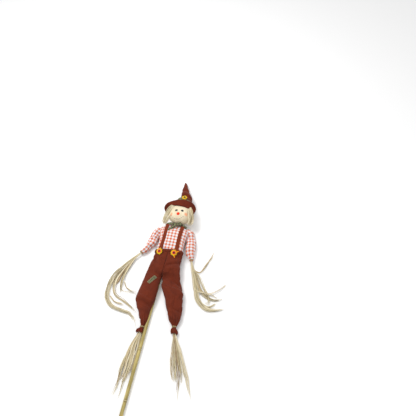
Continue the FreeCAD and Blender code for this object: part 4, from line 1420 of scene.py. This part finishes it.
def bunch(grid, points, count, spread, width, z_low, z_high, seed, step=3.0, ragged=0.14, kink=1.0):
    """Many strips along one plan line. points are (x, y, z); spread is the bunch's width along it."""
    rng = np.random.default_rng(seed)
    base = line_through(points, step)
    total = len(base)
    t = np.linspace(0, 1, total)
    side, _ = sides_of(base)
    room = np.interp(t, np.linspace(0, 1, len(spread)), spread)
    for k in range(count):
        place = (k + 0.5) / count * 2 - 1 + rng.normal(0, 0.14)
        layer = rng.uniform(-1, 1)
        wander = rng.uniform(0.5, 1.6) * np.sin(t * rng.uniform(3, 9) + rng.uniform(0, 6)) * t
        knots = np.linspace(0, 1, max(4, total // 7))
        kinks = np.interp(t, knots, rng.normal(0, 0.9, len(knots))) * ease(t, 0.08, 0.3)
        shift = side * ((place * room / 2) + wander * room * 0.14 + kinks * kink)[:, None]
        lift = layer * (0.25 + 0.75 * ease(t, 0.02, 0.3)) * (z_high - z_low) / 2
        lift = lift + 0.8 * np.sin(t * rng.uniform(4, 10) + rng.uniform(0, 6)) * t
        line = base + shift
        line[:, 2] = base[:, 2] + lift * np.minimum(1, room / 8 + 0.15)
        stop = max(6, int(total * (1 - abs(rng.normal(0, ragged)))))
        line = line[:stop]
        wide = width * (0.4 + 1.0 * rng.uniform(0, 1) ** 1.6)
        rings = strand(line, wide, 0.35, rng.normal(0, 1.6), rng.normal(0, 0.7), rng.uniform(0.15, 0.7))
        rings[:, :, 2] = np.clip(rings[:, :, 2], 0.4, None)
        u, v = around(rings)
        grid.add(rings, u, v + rng.uniform(0, 400), tint=rng.uniform(0, 1) ** 1.3)


HAND_LINES = {
    "right": [
        ([(-95, 87, 12), (-103, 76, 11), (-121, 55, 8), (-146, 20, 7), (-170, -26, 7), (-177, -72, 7),
          (-168, -116, 6), (-146, -138, 6), (-107, -147, 6), (-70, -153, 5), (-42, -182, 4),
          (-27, -210, 3)],
         18, (4, 9, 14, 15, 13, 11, 10), 3.6, 2, 11),
        ([(-95, 87, 12), (-104, 74, 11), (-122, 50, 8), (-150, -2, 7), (-160, -46, 7), (-146, -92, 6),
          (-100, -114, 5), (-62, -137, 5), (-46, -156, 4)],
         9, (4, 8, 10, 10, 9, 7), 3.4, 2, 10),
        ([(-95, 87, 12), (-104, 75, 11), (-116, 54, 8), (-129, 10, 7), (-134, -44, 7), (-124, -90, 5)],
         11, (4, 8, 11, 10, 6), 3.8, 2, 10),
        ([(-118, 44, 8), (-142, 0, 9), (-153, -44, 7), (-151, -66, 5)], 3, (5, 7, 4), 6.5, 4, 10),
        ([(-126, -40, 6), (-112, -58, 6), (-92, -69, 5), (-66, -74, 4)], 3, (3, 5, 8), 2.6, 2, 7),
        ([(-134, -70, 5), (-112, -77, 5), (-88, -75, 4), (-66, -76, 4)], 2, (3, 4, 6), 2.4, 2, 6),
        ([(-160, -104, 7), (-136, -122, 7), (-116, -125, 6), (-96, -124, 5)], 3, (4, 5, 5), 3.0, 2, 8),
    ],
    "left": [
        ([(98, 92, 12), (103, 79, 11), (111, 56, 8), (124, 24, 7), (140, -20, 7), (158, -58, 7),
          (190, -81, 6), (236, -78, 5), (258, -68, 4)],
         15, (4, 9, 13, 14, 12, 10), 3.8, 2, 11),
        ([(98, 92, 12), (104, 78, 11), (116, 56, 8), (136, 38, 7), (164, -4, 8), (190, -38, 7),
          (194, -60, 5), (174, -50, 5)],
         7, (4, 7, 9, 9, 6), 3.4, 3, 11),
        ([(98, 92, 12), (104, 77, 11), (114, 52, 8), (132, 24, 7), (158, -20, 7), (192, -42, 6),
          (222, -44, 5), (254, -30, 4)],
         9, (4, 8, 12, 11, 9, 7), 3.2, 2, 10),
        ([(103, 76, 11), (116, 56, 9), (138, 50, 7), (158, 86, 6), (172, 124, 5), (180, 151, 4)],
         4, (3, 5, 6, 5), 3.2, 3, 8),
        ([(128, -4, 8), (144, -22, 8), (172, -25, 7), (202, -28, 5), (230, -37, 4)],
         4, (3, 6, 7), 3.0, 3, 9),
        ([(176, -30, 7), (196, -24, 6), (218, -8, 5), (252, 30, 4)], 4, (4, 6, 7), 2.8, 2, 7),
        ([(150, -50, 7), (170, -64, 7), (198, -73, 6), (226, -50, 5)], 4, (4, 6, 5), 4.2, 3, 9),
    ],
}
for side, lines in HAND_LINES.items():
    grid = Grid()
    for k, (points, count, spread, width, low, high) in enumerate(lines):
        bunch(grid, points, count, spread, width, low, high, seed=100 + k + (50 if side == "left" else 0))
    dressed(grid.object("hand_raffia_" + side), RAFFIA, "hand_" + side, "hand_straw_" + side, slot="raffia")

FOOT_LINES = {
    "right": [
        ([(-12.5, -192, 11.5), (-15, -205, 11), (-19, -225, 8), (-25, -258, 7), (-30, -318, 6),
          (-33, -386, 5)],
         17, (4, 9, 20, 28, 32, 34), 4.2, 2, 10, 0.16),
        ([(-13, -196, 11.5), (-18, -222, 9), (-32, -262, 8), (-41, -325, 7), (-44, -400, 5),
          (-54, -450, 3)],
         5, (3, 6, 8, 8, 7), 3.6, 2, 9, 0.12),
        ([(-12, -196, 11.5), (-16, -222, 9), (-19, -270, 8), (-24, -360, 6), (-27, -438, 3)],
         4, (3, 6, 8, 8, 6), 3.8, 2, 9, 0.12),
        ([(-11, -196, 11.5), (-10, -225, 9), (-8, -270, 8), (-13, -350, 6), (-18, -392, 4)],
         4, (3, 5, 7, 7, 5), 3.2, 2, 9, 0.10),
    ],
    "left": [
        ([(96.6, -171, 11.5), (99, -184, 11), (106, -206, 8), (118, -238, 7), (139, -296, 6),
          (158, -350, 5)],
         17, (4, 9, 20, 28, 34, 38), 4.2, 2, 10, 0.14),
        ([(97, -176, 11.5), (103, -204, 9), (108, -250, 8), (124, -322, 7), (138, -352, 5)],
         4, (3, 5, 7, 7, 5), 3.4, 2, 9, 0.10),
        ([(97, -176, 11.5), (106, -204, 9), (124, -254, 8), (148, -326, 7), (163, -418, 3)],
         4, (3, 6, 8, 8, 6), 3.6, 2, 9, 0.12),
        ([(97, -176, 11.5), (110, -204, 9), (136, -248, 8), (172, -318, 7), (204, -396, 3)],
         4, (3, 6, 8, 8, 6), 3.6, 2, 9, 0.12),
    ],
}
for side, lines in FOOT_LINES.items():
    grid = Grid()
    for k, (points, count, spread, width, low, high, ragged) in enumerate(lines):
        seed = 200 + k + (50 if side == "left" else 0)
        bunch(grid, points, count, spread, width, low, high, seed=seed, ragged=ragged)
    dressed(grid.object("foot_raffia_" + side), RAFFIA, "foot_" + side, "foot_straw_" + side, slot="raffia")

HAIR_LINES = {
    "right": [
        (-12, 293, 60), (-16, 282, 64.5), (-21, 270, 63), (-28, 250, 55), (-35, 230, 46), (-38, 211, 38),
    ],
    "left": [(44, 293, 60), (49, 283, 64), (54, 272, 62.5), (59, 258, 56), (63, 240, 47), (62, 221, 39)],
}
for side, points in HAIR_LINES.items():
    grid = Grid()
    seed = 301 if side == "right" else 302
    bunch(grid, points, 34, (13, 18, 20, 19, 15), 4.0, -1, 7, seed, step=2.0, ragged=0.07, kink=0.35)
    dressed(grid.object("hair_raffia_" + side), RAFFIA, "head", "hair_" + side, slot="raffia")


# ---- Bamboo cane ----

CANE_Z = 8.5
CANE_R = 6.0
CANE_TOP_Y = 202.0
fine = [CANE_END_Y + 0.8 + k * 5 for k in range(int((CANE_TOP_Y - CANE_END_Y) / 5))]
for node_y in CANE_NODES_Y:
    fine += [node_y + d for d in (-3.2, -2.2, -1.4, -0.8, -0.3, 0.2, 0.7, 1.3, 2.0, 3.0, 4.0)]
ys = np.array(sorted(set(fine)))
radius = np.full(len(ys), CANE_R - 0.12)
for node_y in CANE_NODES_Y:
    d = ys - node_y
    radius = radius + 0.50 * np.exp(-((d + 1.6) / 1.8) ** 2) - 0.45 * np.exp(-((d - 0.7) / 0.5) ** 2)
    radius = radius + 0.30 * np.exp(-((d - 2.6) / 1.4) ** 2)
turn = np.linspace(0, tau, 44, endpoint=False)
body = np.stack([
    np.cos(turn) * radius[:, None],
    np.repeat(ys[:, None], 44, axis=1),
    CANE_Z + np.sin(turn) * radius[:, None],
], axis=2)
body = swell(body, 0.10 * wave_noise(body * [1, 0.15, 1], 6, 81))
ends = []
for y_end, r in ((CANE_END_Y, 5.4), (CANE_END_Y, 3.7), (CANE_END_Y + 1, 3.4), (CANE_END_Y + 16, 3.3)):
    ends.append(np.stack([np.cos(turn) * r, y_end + 0 * turn, CANE_Z + np.sin(turn) * r], axis=1))
top = np.stack([np.cos(turn) * 5.2, CANE_TOP_Y + 0 * turn, CANE_Z + np.sin(turn) * 5.2], axis=1)
body = np.concatenate([np.stack(ends[::-1]), body, top[None]])
u = np.repeat((np.r_[turn, tau] * CANE_R)[None], len(body), axis=0)
v = np.concatenate([body[:, :1, 1]] * 45, axis=1)
dressed(whole("cane_culm", body, u, v), BAMBOO, "torso", "bamboo_cane", slot="bamboo")


# ---- Floor, light and camera ----

bpy.ops.mesh.primitive_plane_add(size=8, location=(0, 0, 0))
floor = bpy.context.object
floor.name = "floor"
pale = Shader("floor_white", 0.9, specular=0.1)
pale.surface.inputs["Base Color"].default_value = (0.93, 0.93, 0.93, 1)
floor.data.materials.append(pale.material)

world = bpy.data.worlds.new("room")
bpy.context.scene.world = world
world.use_nodes = True
world.node_tree.nodes["Background"].inputs[0].default_value = (1.0, 1.0, 1.0, 1)
world.node_tree.nodes["Background"].inputs[1].default_value = 0.78

for name, place, power, size in (
    ("key", (-0.9, 0.8, 1.7), 24, 0.8),
    ("fill", (1.3, -0.6, 1.5), 3, 1.4),
    ("top", (0.1, 0.2, 2.2), 4, 1.2),
):
    lamp = bpy.data.lights.new(name, "AREA")
    lamp.energy, lamp.size = power, size
    light = bpy.data.objects.new(name, lamp)
    light.location = place
    light.rotation_euler = (Vector((0, 0, 0)) - Vector(place)).to_track_quat("-Z", "Y").to_euler()
    bpy.context.scene.collection.objects.link(light)

CAMERA_PLACE = (312.6, -642.9, 1550.0)
CAMERA_TURN, CAMERA_DROP = 11.5, 57.0
lens = bpy.data.cameras.new("camera")
lens.lens, lens.sensor_width = 38.94, 36.0
camera = bpy.data.objects.new("camera", lens)
camera.location = tuple(to_frame(CAMERA_PLACE))
look = Vector((
    -sin(radians(CAMERA_TURN)) * cos(radians(CAMERA_DROP)),
    cos(radians(CAMERA_TURN)) * cos(radians(CAMERA_DROP)),
    -sin(radians(CAMERA_DROP)),
))
camera.rotation_euler = look.to_track_quat("-Z", "Y").to_euler()
bpy.context.scene.collection.objects.link(camera)
bpy.context.scene.camera = camera
bpy.context.scene.view_settings.view_transform = "Standard"
